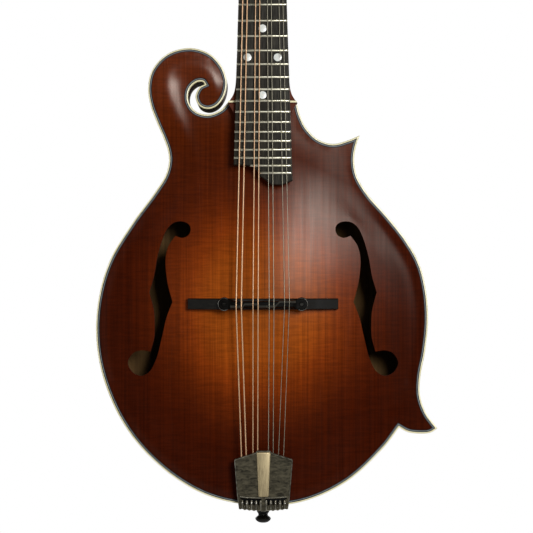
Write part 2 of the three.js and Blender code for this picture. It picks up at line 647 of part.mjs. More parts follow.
function endPin() {
  const length = 36;
  return alongZ(turned([[0, 0], [3.6, 0], [5.4, 1], [6, 2.6], [5.4, 4.4], [3.9, 6.2],
    [END_PIN_R, 8], [END_PIN_R, length], [0, length]], 16));
}

// ---- strings -------------------------------------------------------------------------------
const STRING_ENTRY = { z: 57, rise: 8.6 };
const STRING_HOOK = { z: 26, rise: 5 };
const WRAP_Y = -6;

function stringTube(radius, xTail, xSaddle, xNut, postIndex) {
  const side = Math.sign(xNut);
  const path = [
    new THREE.Vector3(xTail, FRONT - STRING_HOOK.rise, STRING_HOOK.z),
    new THREE.Vector3(xTail, FRONT - STRING_ENTRY.rise, STRING_ENTRY.z),
    new THREE.Vector3(xSaddle, FRONT - STRING_RISE, BRIDGE_Z + crestShift(xSaddle)),
    new THREE.Vector3(xNut, -1.3, NUT_Z + NUT_THICK / 2).applyMatrix4(neckFrame.matrixWorld),
    new THREE.Vector3(side * (POST_X - POST_R - GAP - radius), WRAP_Y,
      FIRST_POST + POST_PITCH * postIndex).applyMatrix4(headFrame.matrixWorld),
  ];
  const sides = 6;
  return loft(path.map((p) => Array.from({ length: sides }, (_, k) => {
    const angle = (2 * Math.PI * k) / sides;
    return [p.x + radius * Math.cos(angle), p.y + radius * Math.sin(angle), p.z];
  })));
}

// ---- assembly ------------------------------------------------------------------------------
const mandolin = new THREE.Group();

function add(name, geometry, material, parent = mandolin) {
  const mesh = new THREE.Mesh(geometry, material);
  mesh.name = name;
  parent.add(mesh);
  return mesh;
}

add('top_plate', topPlate(), SPRUCE());
add('back_plate', backPlate(), MAPLE());
add('bass_rib', bassRib(), MAPLE());
add('treble_rib', trebleRib(), MAPLE());
add('head_block', headBlock(), RAW_WOOD());
add('tail_block', tailBlock(), RAW_WOOD());
add('lower_point_block', pointBlock(POINT_LOW_START, POINT_LOW_END), RAW_WOOD());
add('upper_point_block', pointBlock(POINT_HIGH_START, POINT_HIGH_END), RAW_WOOD());
add('lining_bass_top', liningTop(liningBass), RAW_WOOD());
add('lining_bass_back', liningBack(liningBass), RAW_WOOD());
add('lining_treble_top', liningTop(liningTreble), RAW_WOOD());
add('lining_treble_back', liningBack(liningTreble), RAW_WOOD());
add('bass_tone_bar', toneBar(-34, -17, 70, 270), RAW_WOOD());
add('treble_tone_bar', toneBar(30, 16, 85, 262), RAW_WOOD());
add('top_binding', binding(FRONT, FRONT + PLATE), IVOROID());
add('back_binding', binding(BACK - PLATE, BACK), IVOROID());
add('top_purfling', ring(inset(outline, BINDING + GAP), inset(outline, BINDING + GAP + PURFLING),
  FRONT, FRONT + PLATE), PURFLE());

mandolin.add(neckFrame);
add('neck', neck(), MAPLE(), neckFrame);
add('truss_rod', trussRod(), STEEL(), neckFrame);
add('truss_rod_nut', trussRodNut(), NICKEL(), neckFrame);
add('fingerboard', fingerboard(), EBONY(), neckFrame);
add('nut', nut(), BONE(), neckFrame);
add('headstock_face', headstockFace(), EBONY(), headFrame);
add('truss_rod_cover', trussRodCover(), EBONY(), headFrame);
add('fingerboard_riser', riser(), MAPLE());

add('bridge_base', bridgeBase(), EBONY());
add('bridge_saddle', bridgeSaddle(), EBONY());
for (const [name, side] of [['bass', -1], ['treble', 1]]) {
  add(`bridge_post_${name}`, bridgePost(), STEEL()).position.x = side * POST_SPREAD;
  add(`thumbwheel_${name}`, thumbwheel(), NICKEL()).position.x = side * POST_SPREAD;
  add(`tuner_plate_${name}`, tunerPlate(side), NICKEL(), headFrame);
  postPlaces.forEach((z, i) => {
    const post = add(`tuner_post_${name}_${i + 1}`, tunerPost(), NICKEL(), headFrame);
    post.position.set(side * POST_X, 0, z);
    const knob = add(`tuner_knob_${name}_${i + 1}`, tunerKnob(), NICKEL(), headFrame);
    knob.position.set(0, SHAFT_Y, z + WORM_OFFSET);
    knob.rotation.z = side > 0 ? 0 : Math.PI;
  });
}

mandolin.add(tailFrame);
add('tailpiece', tailpiece(), PEWTER(), tailFrame);
add('tailpiece_inlay', tailpieceInlay(), CHAMPAGNE(), tailFrame);
add('end_pin', endPin(), EBONY());

for (const [name, radius, ...places] of STRINGS) {
  const material = radius > 0.3 ? BRONZE() : STEEL();
  add(name, stringTube(radius, ...places), material);
}

export default mandolin;
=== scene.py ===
# Looks of an F-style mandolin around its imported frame.
# Shapes are worked out in millimetres in the shared frame: +Z up the neck, the front faces -Y,
# +X is the treble side. make() turns them into metres.
import json
import math

import bmesh
import bpy
import numpy as np
from mathutils import Matrix, Vector
from mathutils.geometry import delaunay_2d_cdt


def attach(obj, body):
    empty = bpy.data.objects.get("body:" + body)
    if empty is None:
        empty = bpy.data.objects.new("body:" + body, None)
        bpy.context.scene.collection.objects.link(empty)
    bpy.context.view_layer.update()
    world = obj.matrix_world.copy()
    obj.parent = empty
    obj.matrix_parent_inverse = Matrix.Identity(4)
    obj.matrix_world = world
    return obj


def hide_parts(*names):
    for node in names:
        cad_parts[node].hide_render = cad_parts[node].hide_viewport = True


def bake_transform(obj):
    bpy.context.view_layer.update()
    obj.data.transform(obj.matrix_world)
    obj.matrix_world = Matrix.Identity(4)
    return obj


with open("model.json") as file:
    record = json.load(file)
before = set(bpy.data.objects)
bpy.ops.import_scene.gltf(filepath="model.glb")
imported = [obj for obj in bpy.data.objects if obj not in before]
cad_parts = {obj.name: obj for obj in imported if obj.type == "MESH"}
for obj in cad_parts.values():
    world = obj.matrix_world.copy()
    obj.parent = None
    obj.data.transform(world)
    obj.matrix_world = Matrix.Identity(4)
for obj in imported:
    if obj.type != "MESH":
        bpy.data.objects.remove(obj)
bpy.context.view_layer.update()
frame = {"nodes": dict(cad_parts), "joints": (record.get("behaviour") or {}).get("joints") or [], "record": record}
JOINTS = {joint["name"]: joint for joint in frame["joints"]}
MM = 0.001
SIDES = (("bass", -1), ("treble", 1))
ROUND = 2 * math.pi

# ---- driving dimensions, as in the frame
RIM_DEPTH = 44
FRONT = -RIM_DEPTH / 2
BACK = RIM_DEPTH / 2
PLATE = 4.2
TOP_CROWN = 15.5
BACK_CROWN = 13
BINDING = 1.1
TRIM = 2.95                            # binding and lines together
LINE = 0.58                            # each black line at the front
BACK_LINE = 0.9
SCALE_LENGTH = 352.4
BODY_FRET = 15
LAST_FRET = 23
NECK_X = -0.3
BODY_JOINT_Z = 322.1
NECK_RISE = 14
NECK_ANGLE = math.radians(5.5)
HEAD_ANGLE = math.radians(14)
BOARD = 5.5
NUT_HALF = 14.3                        # of the fingerboard, at the nut
BODY_HALF = 20.4                       # and at the body
NUT_THICK = 4.2
BRIDGE_Z = 169
POST_SPREAD = 29
HEAD_THICK = 15
VENEER = 2
NECK_TOP = BOARD + 0.05

FACING_FRONT = Matrix.Rotation(math.pi / 2, 4, "X")
FACING_BACK = Matrix.Rotation(-math.pi / 2, 4, "X")
NUT_Z = SCALE_LENGTH * (1 - 2 ** (-BODY_FRET / 12))
NECK = (Matrix.Translation((NECK_X, FRONT - NECK_RISE, BODY_JOINT_Z))
        @ Matrix.Rotation(-NECK_ANGLE, 4, "X"))
HEAD = (NECK @ Matrix.Translation((0, 3, NUT_Z + NUT_THICK + 0.3))
        @ Matrix.Rotation(-HEAD_ANGLE, 4, "X"))


# ---- materials
def linear(rgb):
    """Linear colour from 0-255 display values."""
    return tuple(((c / 255 + 0.055) / 1.055) ** 2.4 if c > 10 else c / 3294.6 for c in rgb)


class Surface:
    """A node material: helper calls add nodes and return their output sockets."""

    def __init__(self, name, roughness=0.5, metallic=0.0, coat=0.0, specular=0.5):
        self.material = bpy.data.materials.new(name)
        self.material.use_nodes = True
        self.tree = self.material.node_tree
        self.shader = self.tree.nodes["Principled BSDF"]
        for socket, value in (("Roughness", roughness), ("Metallic", metallic),
                              ("Coat Weight", coat), ("Coat Roughness", 0.25),
                              ("Specular IOR Level", specular)):
            self.shader.inputs[socket].default_value = value
        self.place = self.tree.nodes.new("ShaderNodeTexCoord").outputs["Object"]

    def link(self, value, socket):
        """Feed a socket from another socket, a number or a 0-255 display colour."""
        if isinstance(value, tuple):
            socket.default_value = (*linear(value), 1)
        elif isinstance(value, (int, float)):
            socket.default_value = value
        else:
            self.tree.links.new(value, socket)

    def noise(self, per_metre, detail=3, roughness=0.55, distortion=0.0):
        """Noise whose features repeat that often per metre along X, Y and Z."""
        mapping = self.tree.nodes.new("ShaderNodeMapping")
        mapping.inputs["Scale"].default_value = per_metre
        self.link(self.place, mapping.inputs["Vector"])
        node = self.tree.nodes.new("ShaderNodeTexNoise")
        for socket, value in (("Scale", 1), ("Detail", detail), ("Roughness", roughness),
                              ("Distortion", distortion)):
            node.inputs[socket].default_value = value
        self.link(mapping.outputs["Vector"], node.inputs["Vector"])
        return node.outputs["Fac"]

    def ramp(self, value, *stops):
        """A band of greys or display colours from (position, colour) pairs."""
        node = self.tree.nodes.new("ShaderNodeValToRGB")
        elements = node.color_ramp.elements
        while len(elements) < len(stops):
            elements.new(0.5)
        for element, (position, colour) in zip(elements, stops):
            element.position = position
            grey = isinstance(colour, (int, float))
            element.color = (colour, colour, colour, 1) if grey else (*linear(colour), 1)
        self.link(value, node.inputs["Fac"])
        return node.outputs["Color"]

    def mix(self, factor, first, second, kind="MIX"):
        node = self.tree.nodes.new("ShaderNodeMix")
        node.data_type = "RGBA"
        node.blend_type = kind
        for value, index in ((factor, 0), (first, 6), (second, 7)):
            self.link(value, node.inputs[index])
        return node.outputs[2]

    def times(self, first, second):
        return self.mix(1.0, first, second, "MULTIPLY")

    def maths(self, kind, first, second=0.0, third=0.0):
        node = self.tree.nodes.new("ShaderNodeMath")
        node.operation = kind
        for value, socket in zip((first, second, third), node.inputs):
            self.link(value, socket)
        return node.outputs[0]

    def axes(self):
        node = self.tree.nodes.new("ShaderNodeSeparateXYZ")
        self.link(self.place, node.inputs[0])
        return node.outputs

    def colour(self, value):
        self.link(value, self.shader.inputs["Base Color"])

    def roughness(self, value):
        self.link(value, self.shader.inputs["Roughness"])

    def bumped(self, height, depth_mm, strength):
        """The finished material, with a bump map of that depth."""
        node = self.tree.nodes.new("ShaderNodeBump")
        node.inputs["Distance"].default_value = depth_mm * MM
        node.inputs["Strength"].default_value = strength
        self.link(height, node.inputs["Height"])
        self.link(node.outputs["Normal"], self.shader.inputs["Normal"])
        return self.material


def sunburst(surface, centre, reach, stops):
    """Colour that darkens from centre outwards, along an ellipse of the given half axes (mm)."""
    x, _, z = surface.axes()
    squares = []
    for value, middle, half in ((x, centre[0], reach[0]), (z, centre[1], reach[1])):
        share = surface.maths("DIVIDE", surface.maths("SUBTRACT", value, middle * MM), half * MM)
        squares.append(surface.maths("MULTIPLY", share, share))
    radius = surface.maths("SQRT", surface.maths("ADD", *squares))
    wander = surface.maths("MULTIPLY_ADD", surface.noise((14, 14, 9), 2), 0.16, -0.08)
    return surface.ramp(surface.maths("ADD", radius, wander), *stops)


def spruce_material():
    s = Surface("spruce_sunburst", roughness=0.26, specular=0.11)
    s.shader.inputs["Specular Tint"].default_value = (1, 0.88, 0.78, 1)
    base = sunburst(s, (-1, 170), (120, 132), (
        (0.0, (160, 80, 22)), (0.32, (153, 72, 16)), (0.48, (130, 53, 10)), (0.6, (102, 38, 6)),
        (0.74, (77, 25, 4)), (0.86, (64, 18, 2)), (1.0, (60, 17, 3))))
    x, _, z = s.axes()
    shoulder = s.ramp(z, (0.235, 0.0), (0.33, 1.0))
    base = s.mix(shoulder, base, (94, 36, 8), "LIGHTEN")
    # The lacquer is rubbed duller towards the treble edge and its point.
    height = s.maths("MULTIPLY_ADD", s.maths("MAXIMUM", x, 0.0), 0.5, z)
    shine = s.ramp(height, (0.212, 0.08), (0.228, 0.11), (0.258, 0.125), (0.279, 0.075),
                   (0.293, 0.03), (0.303, 0.045), (0.318, 0.13), (0.345, 0.34))
    gloss = s.maths("MULTIPLY", shine, s.ramp(x, (0.05, 1.0), (0.08, 0.35)))
    s.link(gloss, s.shader.inputs["Specular IOR Level"])
    fibres = s.noise((760, 40, 9), 4, 0.6)
    grain = s.ramp(fibres, (0.34, 0.7), (0.62, 1.06))
    streaks = s.ramp(s.noise((240, 20, 3.5)), (0.3, 0.84), (0.7, 1.06))
    silk = s.ramp(s.noise((70, 70, 620), 3, 0.5, 0.8), (0.36, 0.84), (0.62, 1.1))
    blotch = s.ramp(s.noise((26, 26, 16)), (0.3, 0.84), (0.7, 1.1))
    s.colour(s.times(base, s.times(s.times(grain, streaks), s.times(silk, blotch))))
    s.roughness(s.ramp(s.noise((300, 60, 12)), (0.3, 0.21), (0.7, 0.28)))
    return s.bumped(fibres, 0.03, 0.35)


def maple_material(name, centre, reach, stops):
    s = Surface(name, roughness=0.42, specular=0.1)
    base = sunburst(s, centre, reach, stops)
    flame = s.ramp(s.noise((9, 9, 120), 3, 0.5, 0.6), (0.38, 0.74), (0.6, 1.14))
    grain = s.noise((620, 620, 36))
    pores = s.ramp(grain, (0.4, 0.84), (0.6, 1.04))
    s.colour(s.times(base, s.times(flame, pores)))
    s.roughness(s.ramp(s.noise((200, 200, 60)), (0.3, 0.38), (0.7, 0.48)))
    return s.bumped(grain, 0.03, 0.4)


def raw_wood_material(name, dark, light):
    s = Surface(name, roughness=0.8, specular=0.2)
    rings = s.noise((420, 420, 14))
    s.colour(s.mix(s.noise((40, 40, 6)), light, s.ramp(rings, (0.35, dark), (0.65, light))))
    return s.bumped(rings, 0.05, 0.5)


def ebony_material(name, grain, dark, middle, light, roughness, specular=0.16):
    s = Surface(name, roughness=roughness, specular=specular)
    pores = s.noise(grain, 4, 0.6)
    s.colour(s.ramp(pores, (0.3, dark), (0.55, middle), (0.75, light)))
    s.roughness(s.ramp(pores, (0.3, roughness * 1.25), (0.7, roughness * 0.85)))
    return s.bumped(pores, 0.03, 0.4)


def ivoroid_material():
    s = Surface("ivoroid", roughness=0.35, coat=0.2)
    s.colour(s.ramp(s.noise((60, 400, 60), 3, 0.5, 1.0), (0.3, (226, 216, 166)),
                    (0.7, (242, 236, 200))))
    return s.bumped(s.noise((200, 200, 200)), 0.02, 0.3)


def line_material(name, dark, light, roughness=0.45, specular=0.5):
    s = Surface(name, roughness=roughness, specular=specular)
    s.colour(s.ramp(s.noise((180, 180, 180)), (0.3, dark), (0.7, light)))
    return s.bumped(s.noise((400, 400, 400), 2), 0.02, 0.3)


def pewter_material():
    s = Surface("cast_pewter", roughness=0.42, metallic=0.7, specular=0.3)
    streaks = s.noise((190, 190, 520), 5, 0.65, 0.8)
    clouds = s.noise((150, 150, 210), 4, 0.6, 1.2)
    s.colour(s.mix(clouds, s.ramp(streaks, (0.35, (30, 28, 22)), (0.7, (78, 73, 59))),
                   s.ramp(streaks, (0.3, (40, 38, 30)), (0.75, (112, 105, 84)))))
    s.roughness(s.ramp(streaks, (0.3, 0.38), (0.7, 0.56)))
    return s.bumped(s.noise((260, 260, 420), 4), 0.12, 0.6)


def brushed_material(name, dark, light, scale, roughness, metallic=1.0):
    s = Surface(name, roughness=roughness, metallic=metallic)
    lines = s.noise(scale, 4, 0.6)
    s.colour(s.ramp(lines, (0.3, dark), (0.7, light)))
    s.roughness(s.ramp(lines, (0.3, roughness * 0.75), (0.7, roughness * 1.3)))
    return s.bumped(lines, 0.02, 0.4)


def pearl_material():
    s = Surface("mother_of_pearl", roughness=0.22, coat=0.5)
    swirl = s.noise((330, 330, 330), 4, 0.6, 2.2)
    s.colour(s.ramp(swirl, (0.25, (190, 186, 170)), (0.45, (232, 232, 226)),
                    (0.6, (206, 214, 210)), (0.8, (248, 244, 232))))
    return s.bumped(swirl, 0.02, 0.3)


def wound_material():
    """Bronze wrap wire: close turns across the string's length."""
    s = Surface("bronze_winding", roughness=0.42, metallic=0.45)
    turns = s.tree.nodes.new("ShaderNodeTexWave")
    turns.bands_direction = "Z"
    turns.inputs["Scale"].default_value = 520
    turns.inputs["Distortion"].default_value = 0.4
    s.link(s.place, turns.inputs["Vector"])
    s.colour(s.mix(s.noise((200, 200, 30)), (206, 162, 122), (226, 188, 148)))
    return s.bumped(turns.outputs["Fac"], 0.05, 0.6)


SPRUCE = spruce_material()
MAPLE = maple_material("maple_body", (0, 165), (150, 190), (
    (0.0, (150, 74, 24)), (0.4, (112, 46, 12)), (0.7, (76, 26, 6)), (1.0, (60, 19, 5))))
NECK_WOOD = maple_material("maple_neck", (0, 430), (90, 160), (
    (0.0, (112, 48, 14)), (0.5, (90, 36, 10)), (1.0, (70, 26, 8))))
RAW_WOOD = raw_wood_material("bare_wood", (150, 120, 80), (196, 168, 124))
INSIDE_WOOD = raw_wood_material("inside_wood", (62, 44, 20), (96, 70, 36))
BOARD_WOOD = ebony_material("ebony_board", (900, 900, 30), (20, 18, 14), (38, 35, 27),
                            (60, 55, 44), 0.55)
EBONY = ebony_material("ebony_polished", (36, 700, 700), (8, 8, 6), (18, 16, 12),
                       (32, 29, 22), 0.34)
# A darker, duller copy of the ebony for the saddle's block: its darker colours are painted shade.
EBONY_DULL_SHADED = ebony_material("ebony_dull_painted_shade", (36, 700, 700), (4, 4, 3), (9, 8, 6), (17, 15, 11),
                            0.5, 0.05)
IVOROID = ivoroid_material()
# Black for the purfling lines, and also painted shade in the screw slots and behind the tailpiece's combs.
BLACK_LINE_AND_SHADE = line_material("black_line_and_painted_shade", (4, 4, 5), (11, 11, 13), specular=0.1)
GREY_LINE = line_material("grey_line", (90, 96, 100), (116, 122, 126), specular=0.2)
F_EDGE = line_material("f_hole_edge", (44, 12, 5), (84, 30, 12), 0.6)
PEWTER = pewter_material()
CHAMPAGNE = brushed_material("champagne", (150, 134, 102), (184, 168, 130), (900, 900, 24), 0.5,
                             0.6)
NICKEL = brushed_material("nickel", (168, 165, 156), (206, 204, 196), (300, 300, 300), 0.22)
FRET_WIRE = brushed_material("fret_wire", (202, 196, 170), (236, 232, 212), (60, 900, 900), 0.28)
STEEL = brushed_material("string_steel", (146, 140, 122), (174, 168, 148), (900, 900, 60), 0.45,
                         0.5)
DARK_STEEL = brushed_material("dark_steel", (16, 16, 15), (46, 45, 42), (400, 400, 400), 0.3)
# Lighter brushed metal for the tailpiece's rim, brow, fingers and beads: a painted highlight on its raised edges.
RIM_HIGHLIGHT_METAL = brushed_material("rim_painted_highlight", (96, 92, 80), (150, 146, 132), (300, 300, 300), 0.4)
PEARL = pearl_material()
BONE = line_material("bone", (222, 212, 186), (244, 238, 220), 0.4)
BRONZE = wound_material()


# ---- mesh tools
TUBE_SIDES = 10


def make(name, points, faces, materials, place=None, body="root", slots=None, crease=35):
    """An object from points in millimetres, riding on a body."""
    place = place or Matrix.Identity(4)
    mesh = bpy.data.meshes.new(name)
    mesh.from_pydata([(place @ Vector(p)) * MM for p in points], [], [list(f) for f in faces])
    materials = materials if isinstance(materials, (list, tuple)) else [materials]
    for material in materials:
        mesh.materials.append(material)
    if slots is not None:
        mesh.polygons.foreach_set("material_index", np.asarray(slots, dtype=np.int32))
    shape = bmesh.new()
    shape.from_mesh(mesh)
    bmesh.ops.remove_doubles(shape, verts=shape.verts, dist=2e-6)
    bmesh.ops.dissolve_degenerate(shape, edges=shape.edges, dist=1e-6)
    bmesh.ops.recalc_face_normals(shape, faces=shape.faces)
    shape.to_mesh(mesh)
    shape.free()
    mesh.polygons.foreach_set("use_smooth", [True] * len(mesh.polygons))
    mesh.set_sharp_from_angle(angle=math.radians(crease))
    piece = bpy.data.objects.new(name, mesh)
    bpy.context.scene.collection.objects.link(piece)
    if body:
        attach(piece, body)
    return piece


def finish(piece, *nodes, slot=None):
    """Hide the CAD nodes that a piece stands in for. The slot is not used."""
    if nodes:
        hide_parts(*nodes)


def angles(count):
    """Evenly spaced angles round a full turn."""
    return np.linspace(0, ROUND, count, endpoint=False)


def circle(radius, z, count):
    return [(radius * math.cos(t), radius * math.sin(t), z) for t in angles(count)]


def grid_faces(rows, columns, wrap_rows=False, first=0):
    """Quads between rows of points, each row closing on itself."""
    faces = []
    for r in range(rows if wrap_rows else rows - 1):
        across = ((r + 1) % rows - r) * columns
        for c in range(columns):
            a, b = first + r * columns + c, first + r * columns + (c + 1) % columns
            faces.append((a, b, b + across, a + across))
    return faces


def loft(name, sections, materials, place=None, body="root", crease=35):
    """A closed solid through cross-sections with the same number of points."""
    count = len(sections[0])
    points = [p for section in sections for p in section]
    faces = grid_faces(len(sections), count)
    faces.append(tuple(reversed(range(count))))
    faces.append(tuple(range(len(points) - count, len(points))))
    return make(name, points, faces, materials, place, body, crease=crease)


def turned(name, profile, sides, materials, place=None, body="root"):
    """A turned piece about Z: profile pairs are (radius, z); the ends are closed."""
    return loft(name, [circle(r, z, sides) for r, z in profile], materials, place, body)


def hoop(name, sections, material, place=None, body="root"):
    """A ring through cross-sections, the last one joined to the first."""
    points = [p for section in sections for p in section]
    faces = grid_faces(len(sections), len(sections[0]), wrap_rows=True)
    return make(name, points, faces, material, place, body)


def tube(name, path, radius, materials, body="root", place=None):
    """A round rod along a path of points; radius may be one number or one for each point."""
    path = [Vector(p) for p in path]
    radii = radius if isinstance(radius, (list, tuple)) else [radius] * len(path)
    sections, normal = [], None
    for i, point in enumerate(path):
        ahead = (path[min(i + 1, len(path) - 1)] - path[max(i - 1, 0)]).normalized()
        if normal is None:
            normal = ahead.orthogonal().normalized()
        normal = (normal - ahead * normal.dot(ahead)).normalized()
        other = ahead.cross(normal)
        sections.append([point + (normal * math.cos(t) + other * math.sin(t)) * radii[i]
                         for t in angles(TUBE_SIDES)])
    return loft(name, sections, materials, place, body, crease=50)


def curve_through(knots, spacing=1.5):
    """Centripetal Catmull-Rom curve through [x, z] knots, sampled about every spacing mm."""
    knots = np.asarray(knots, float)
    padded = np.vstack([2 * knots[0] - knots[1], knots, 2 * knots[-1] - knots[-2]])
    samples = []
    for p0, p1, p2, p3 in zip(padded, padded[1:], padded[2:], padded[3:]):
        d0, d1, d2 = (np.linalg.norm(b - a) ** 0.5 for a, b in ((p0, p1), (p1, p2), (p2, p3)))
        start = ((p1 - p0) / d0 - (p2 - p0) / (d0 + d1) + (p2 - p1) / d1) * d1
        end = ((p2 - p1) / d1 - (p3 - p1) / (d1 + d2) + (p3 - p2) / d2) * d1
        steps = max(2, math.ceil(np.linalg.norm(p2 - p1) / spacing))
        for t in np.arange(steps)[:, None] / steps:
            samples.append((2 * t**3 - 3 * t**2 + 1) * p1 + (t**3 - 2 * t**2 + t) * start
                           + (3 * t**2 - 2 * t**3) * p2 + (t**3 - t**2) * end)
    samples.append(knots[-1][None, :])
    return np.vstack(samples)


def distances(points, path, closed=True):
    """Distance from each point to a path of straight segments."""
    starts = path if closed else path[:-1]
    ends = np.roll(path, -1, 0) if closed else path[1:]
    along = ends - starts
    lengths = (along**2).sum(1)
    result = np.empty(len(points))
    for low in range(0, len(points), 2000):
        away = points[low:low + 2000, None, :] - starts[None]
        t = np.clip((away * along).sum(2) / lengths, 0, 1)
        result[low:low + 2000] = np.sqrt(((away - t[..., None] * along) ** 2).sum(2)).min(1)
    return result


def inside(points, polygon):
    """True for each point that lies inside the polygon."""
    x, z = points[:, 0][:, None], points[:, 1][:, None]
    x0, z0 = polygon[:, 0][None], polygon[:, 1][None]
    x1, z1 = np.roll(x0, -1, 1), np.roll(z0, -1, 1)
    result = np.zeros(len(points), bool)
    for low in range(0, len(points), 4000):
        part = slice(low, low + 4000)
        crossing = (z0 > z[part]) != (z1 > z[part])
        with np.errstate(divide="ignore", invalid="ignore"):
            reach = (x1 - x0) * (z[part] - z0) / (z1 - z0) + x0
        result[part] = (crossing & (x[part] < reach)).sum(1) % 2 == 1
    return result


def inset(points, distance, corners=()):
    """A closed counter-clockwise path moved inwards; near a corner it folds onto the mitre."""
    before = points - np.roll(points, 1, 0)
    after = np.roll(points, -1, 0) - points
    before /= np.linalg.norm(before, axis=1)[:, None]
    after /= np.linalg.norm(after, axis=1)[:, None]
    inward = np.stack([-before[:, 1] - after[:, 1], before[:, 0] + after[:, 0]], 1)
    inward /= np.linalg.norm(inward, axis=1)[:, None]
    mitre = inward[:, 1] * before[:, 0] - inward[:, 0] * before[:, 1]
    moved = points + inward * (distance / np.maximum(mitre, 0.3))[:, None]
    if distance > 0 and len(corners):
        crowded = distances(moved, points) < 0.985 * distance
        for i in np.flatnonzero(crowded):
            corner = min(corners, key=lambda c: np.linalg.norm(points[c] - points[i]))
            moved[i] = moved[corner]
    return moved


def stepped(outer, profile, corners=()):
    """Rings in X and Z inside an outline: profile pairs are (distance inside it, y)."""
    return [[(x, y, z) for x, z in inset(outer, d, corners)] for d, y in profile]


def tidy_loop(points, least=0.05):
    """The closed path without points that fall on their neighbours."""
    kept = [points[0]]
    for p in points[1:]:
        if np.linalg.norm(p - kept[-1]) > least:
            kept.append(p)
    if np.linalg.norm(kept[-1] - kept[0]) <= least:
        kept.pop()
    return np.array(kept)


def flat_mesh(outer, holes=(), spacing=2.2, clear=1.1, ridge=None):
    """Triangles filling an outline with holes, with points along a ridge if there is one."""
    loops = [np.asarray(loop, float) for loop in (outer, *holes)]
    edges, points = [], []
    for loop in loops:
        first = len(points)
        points.extend(loop)
        edges.extend((first + i, first + (i + 1) % len(loop)) for i in range(len(loop)))
    low, high = loops[0].min(0), loops[0].max(0)
    rows = np.arange(low[1], high[1], spacing * math.sqrt(3) / 2)
    inner = np.array([(x + (spacing / 2 if r % 2 else 0), z) for r, z in enumerate(rows)
                      for x in np.arange(low[0], high[0], spacing)])
    keep = inside(inner, loops[0])
    for loop in loops[1:]:
        keep &= ~inside(inner, loop)
    inner = inner[keep]
    if ridge is not None:
        inner = np.vstack([inner[distances(inner, ridge, closed=False) > clear], ridge])
    for loop in loops:
        inner = inner[distances(inner, loop) > clear]
    points.extend(inner)
    found = delaunay_2d_cdt([Vector(p) for p in points], edges, [], 0, 1e-5)
    spots = np.array([tuple(p) for p in found[0]])
    triangles = np.array([f for f in found[2] if len(f) == 3])
    centres = spots[triangles].mean(1)
    keep = inside(centres, loops[0])
    for loop in loops[1:]:
        keep &= ~inside(centres, loop)
    return spots, triangles[keep]


def thick(spots, triangles, near, far):
    """Points and faces of a sheet between two heights, with walls round its edges."""
    count = len(spots)
    points = [(x, y, z) for level in (near, far) for (x, z), y in zip(spots, level)]
    faces = [tuple(t) for t in triangles]
    faces += [tuple(int(i) + count for i in reversed(t)) for t in triangles]
    used = {(int(a), int(b)): True for t in triangles for a, b in zip(t, np.roll(t, -1))}
    walls = [(a, b) for a, b in used if (b, a) not in used]
    faces += [(b, a, a + count, b + count) for a, b in walls]
    kinds = [0] * len(triangles) + [1] * len(triangles) + [2] * len(walls)
    return points, faces, kinds


def plate(name, outer, near, far, materials, holes=(), place=None, edge=0.4, crease=35):
    """A plate drawn in X and Z, from y = near to y = far; without holes its front is eased."""
    outer = np.asarray(outer, float)
    if not len(holes):
        rings = [(0, far), (0, near + edge), (0.3 * edge, near + 0.3 * edge), (edge, near)]
        return loft(name, stepped(outer, rings), materials, place, crease=crease)
    spots, triangles = flat_mesh(outer, holes, spacing=60)
    points, faces, _ = thick(spots, triangles, [near] * len(spots), [far] * len(spots))
    return make(name, points, faces, materials, place, crease=crease)


# ---- body outline, as in the frame
LOW_CUSP, LOW_TIP, HIGH_TIP = [103.4, 74.8], [132.7, 74], [73.5, 296.9]
NECK_TREBLE, NECK_BASS = [25.5, 322.3], [-26.4, 322.3]
GAP_END, TAIL = [-44.4, 335.8], [0, 15.2]
POINT_UNDERSIDE = [LOW_CUSP, [110.3, 71.2], [119.4, 70.1], [127, 70.7], LOW_TIP]
TREBLE_SIDE = [LOW_TIP, [124, 85.9], [119.6, 98.7], [119.8, 113.9], [123.3, 132.2],
               [125.6, 156.5], [124, 179.3], [119, 199.1], [108.7, 217.4], [94.3, 235.6],
               [79.8, 252], [71.5, 266], [69.4, 278.2], [70.7, 288.1], HIGH_TIP]
SHOULDER = [HIGH_TIP, [64.6, 293.2], [53.2, 290.5], [41.8, 293.9], [32.7, 302.9],
            [28.1, 312.6], NECK_TREBLE]
SCROLL_GAP = [NECK_BASS, [-32.3, 316.2], [-41.8, 312.8], [-50.4, 314.8], [-55, 319.3],
              [-57, 325.3], [-56.1, 331.4], [-53.6, 335.1], [-49.4, 337.7], [-45.6, 337.5],
              GAP_END]
SCROLL = [GAP_END, [-47.8, 334.1], [-50.9, 328.8], [-51.3, 325.3], [-48.3, 319.3],
          [-41.8, 317], [-34.8, 319.7], [-29.5, 327.1], [-27.5, 336.3], [-28.2, 341.5],
          [-31.6, 349.7], [-40.3, 358.8], [-55.5, 363.4], [-73, 358.8], [-84.4, 346.6],
          [-87.5, 332.9], [-85.5, 319.3]]
BASS_SIDE = [[-80.9, 307.1], [-75.7, 294.9], [-72.5, 285.8], [-71.6, 277.4], [-74.3, 266.4],
             [-82.1, 253.9], [-99.6, 230], [-116.4, 202.1], [-124.7, 174.8], [-127, 146.6],
             [-122.8, 117], [-109.5, 83.5], [-90.5, 57.1], [-63.1, 33.9], [-35.7, 20.7]]
TREBLE_BOUT = [[32.7, 19.1], [64.6, 34.3], [92, 59.7], LOW_CUSP]
STRETCHES = [POINT_UNDERSIDE, TREBLE_SIDE, SHOULDER, [NECK_TREBLE, NECK_BASS], SCROLL_GAP,
             SCROLL + BASS_SIDE + [TAIL] + TREBLE_BOUT]
OUTLINE = np.vstack([curve_through(stretch)[:-1] for stretch in STRETCHES])


def outline_index(spot):
    return int(np.linalg.norm(OUTLINE - np.array(spot, float), axis=1).argmin())


CORNERS = [outline_index(p) for p in
           (LOW_CUSP, LOW_TIP, HIGH_TIP, NECK_TREBLE, NECK_BASS, GAP_END)]


# ---- carved plates
ARCH_Z, ARCH_ACROSS, ARCH_DOWN, ARCH_UP = 165, 112, 135, 175
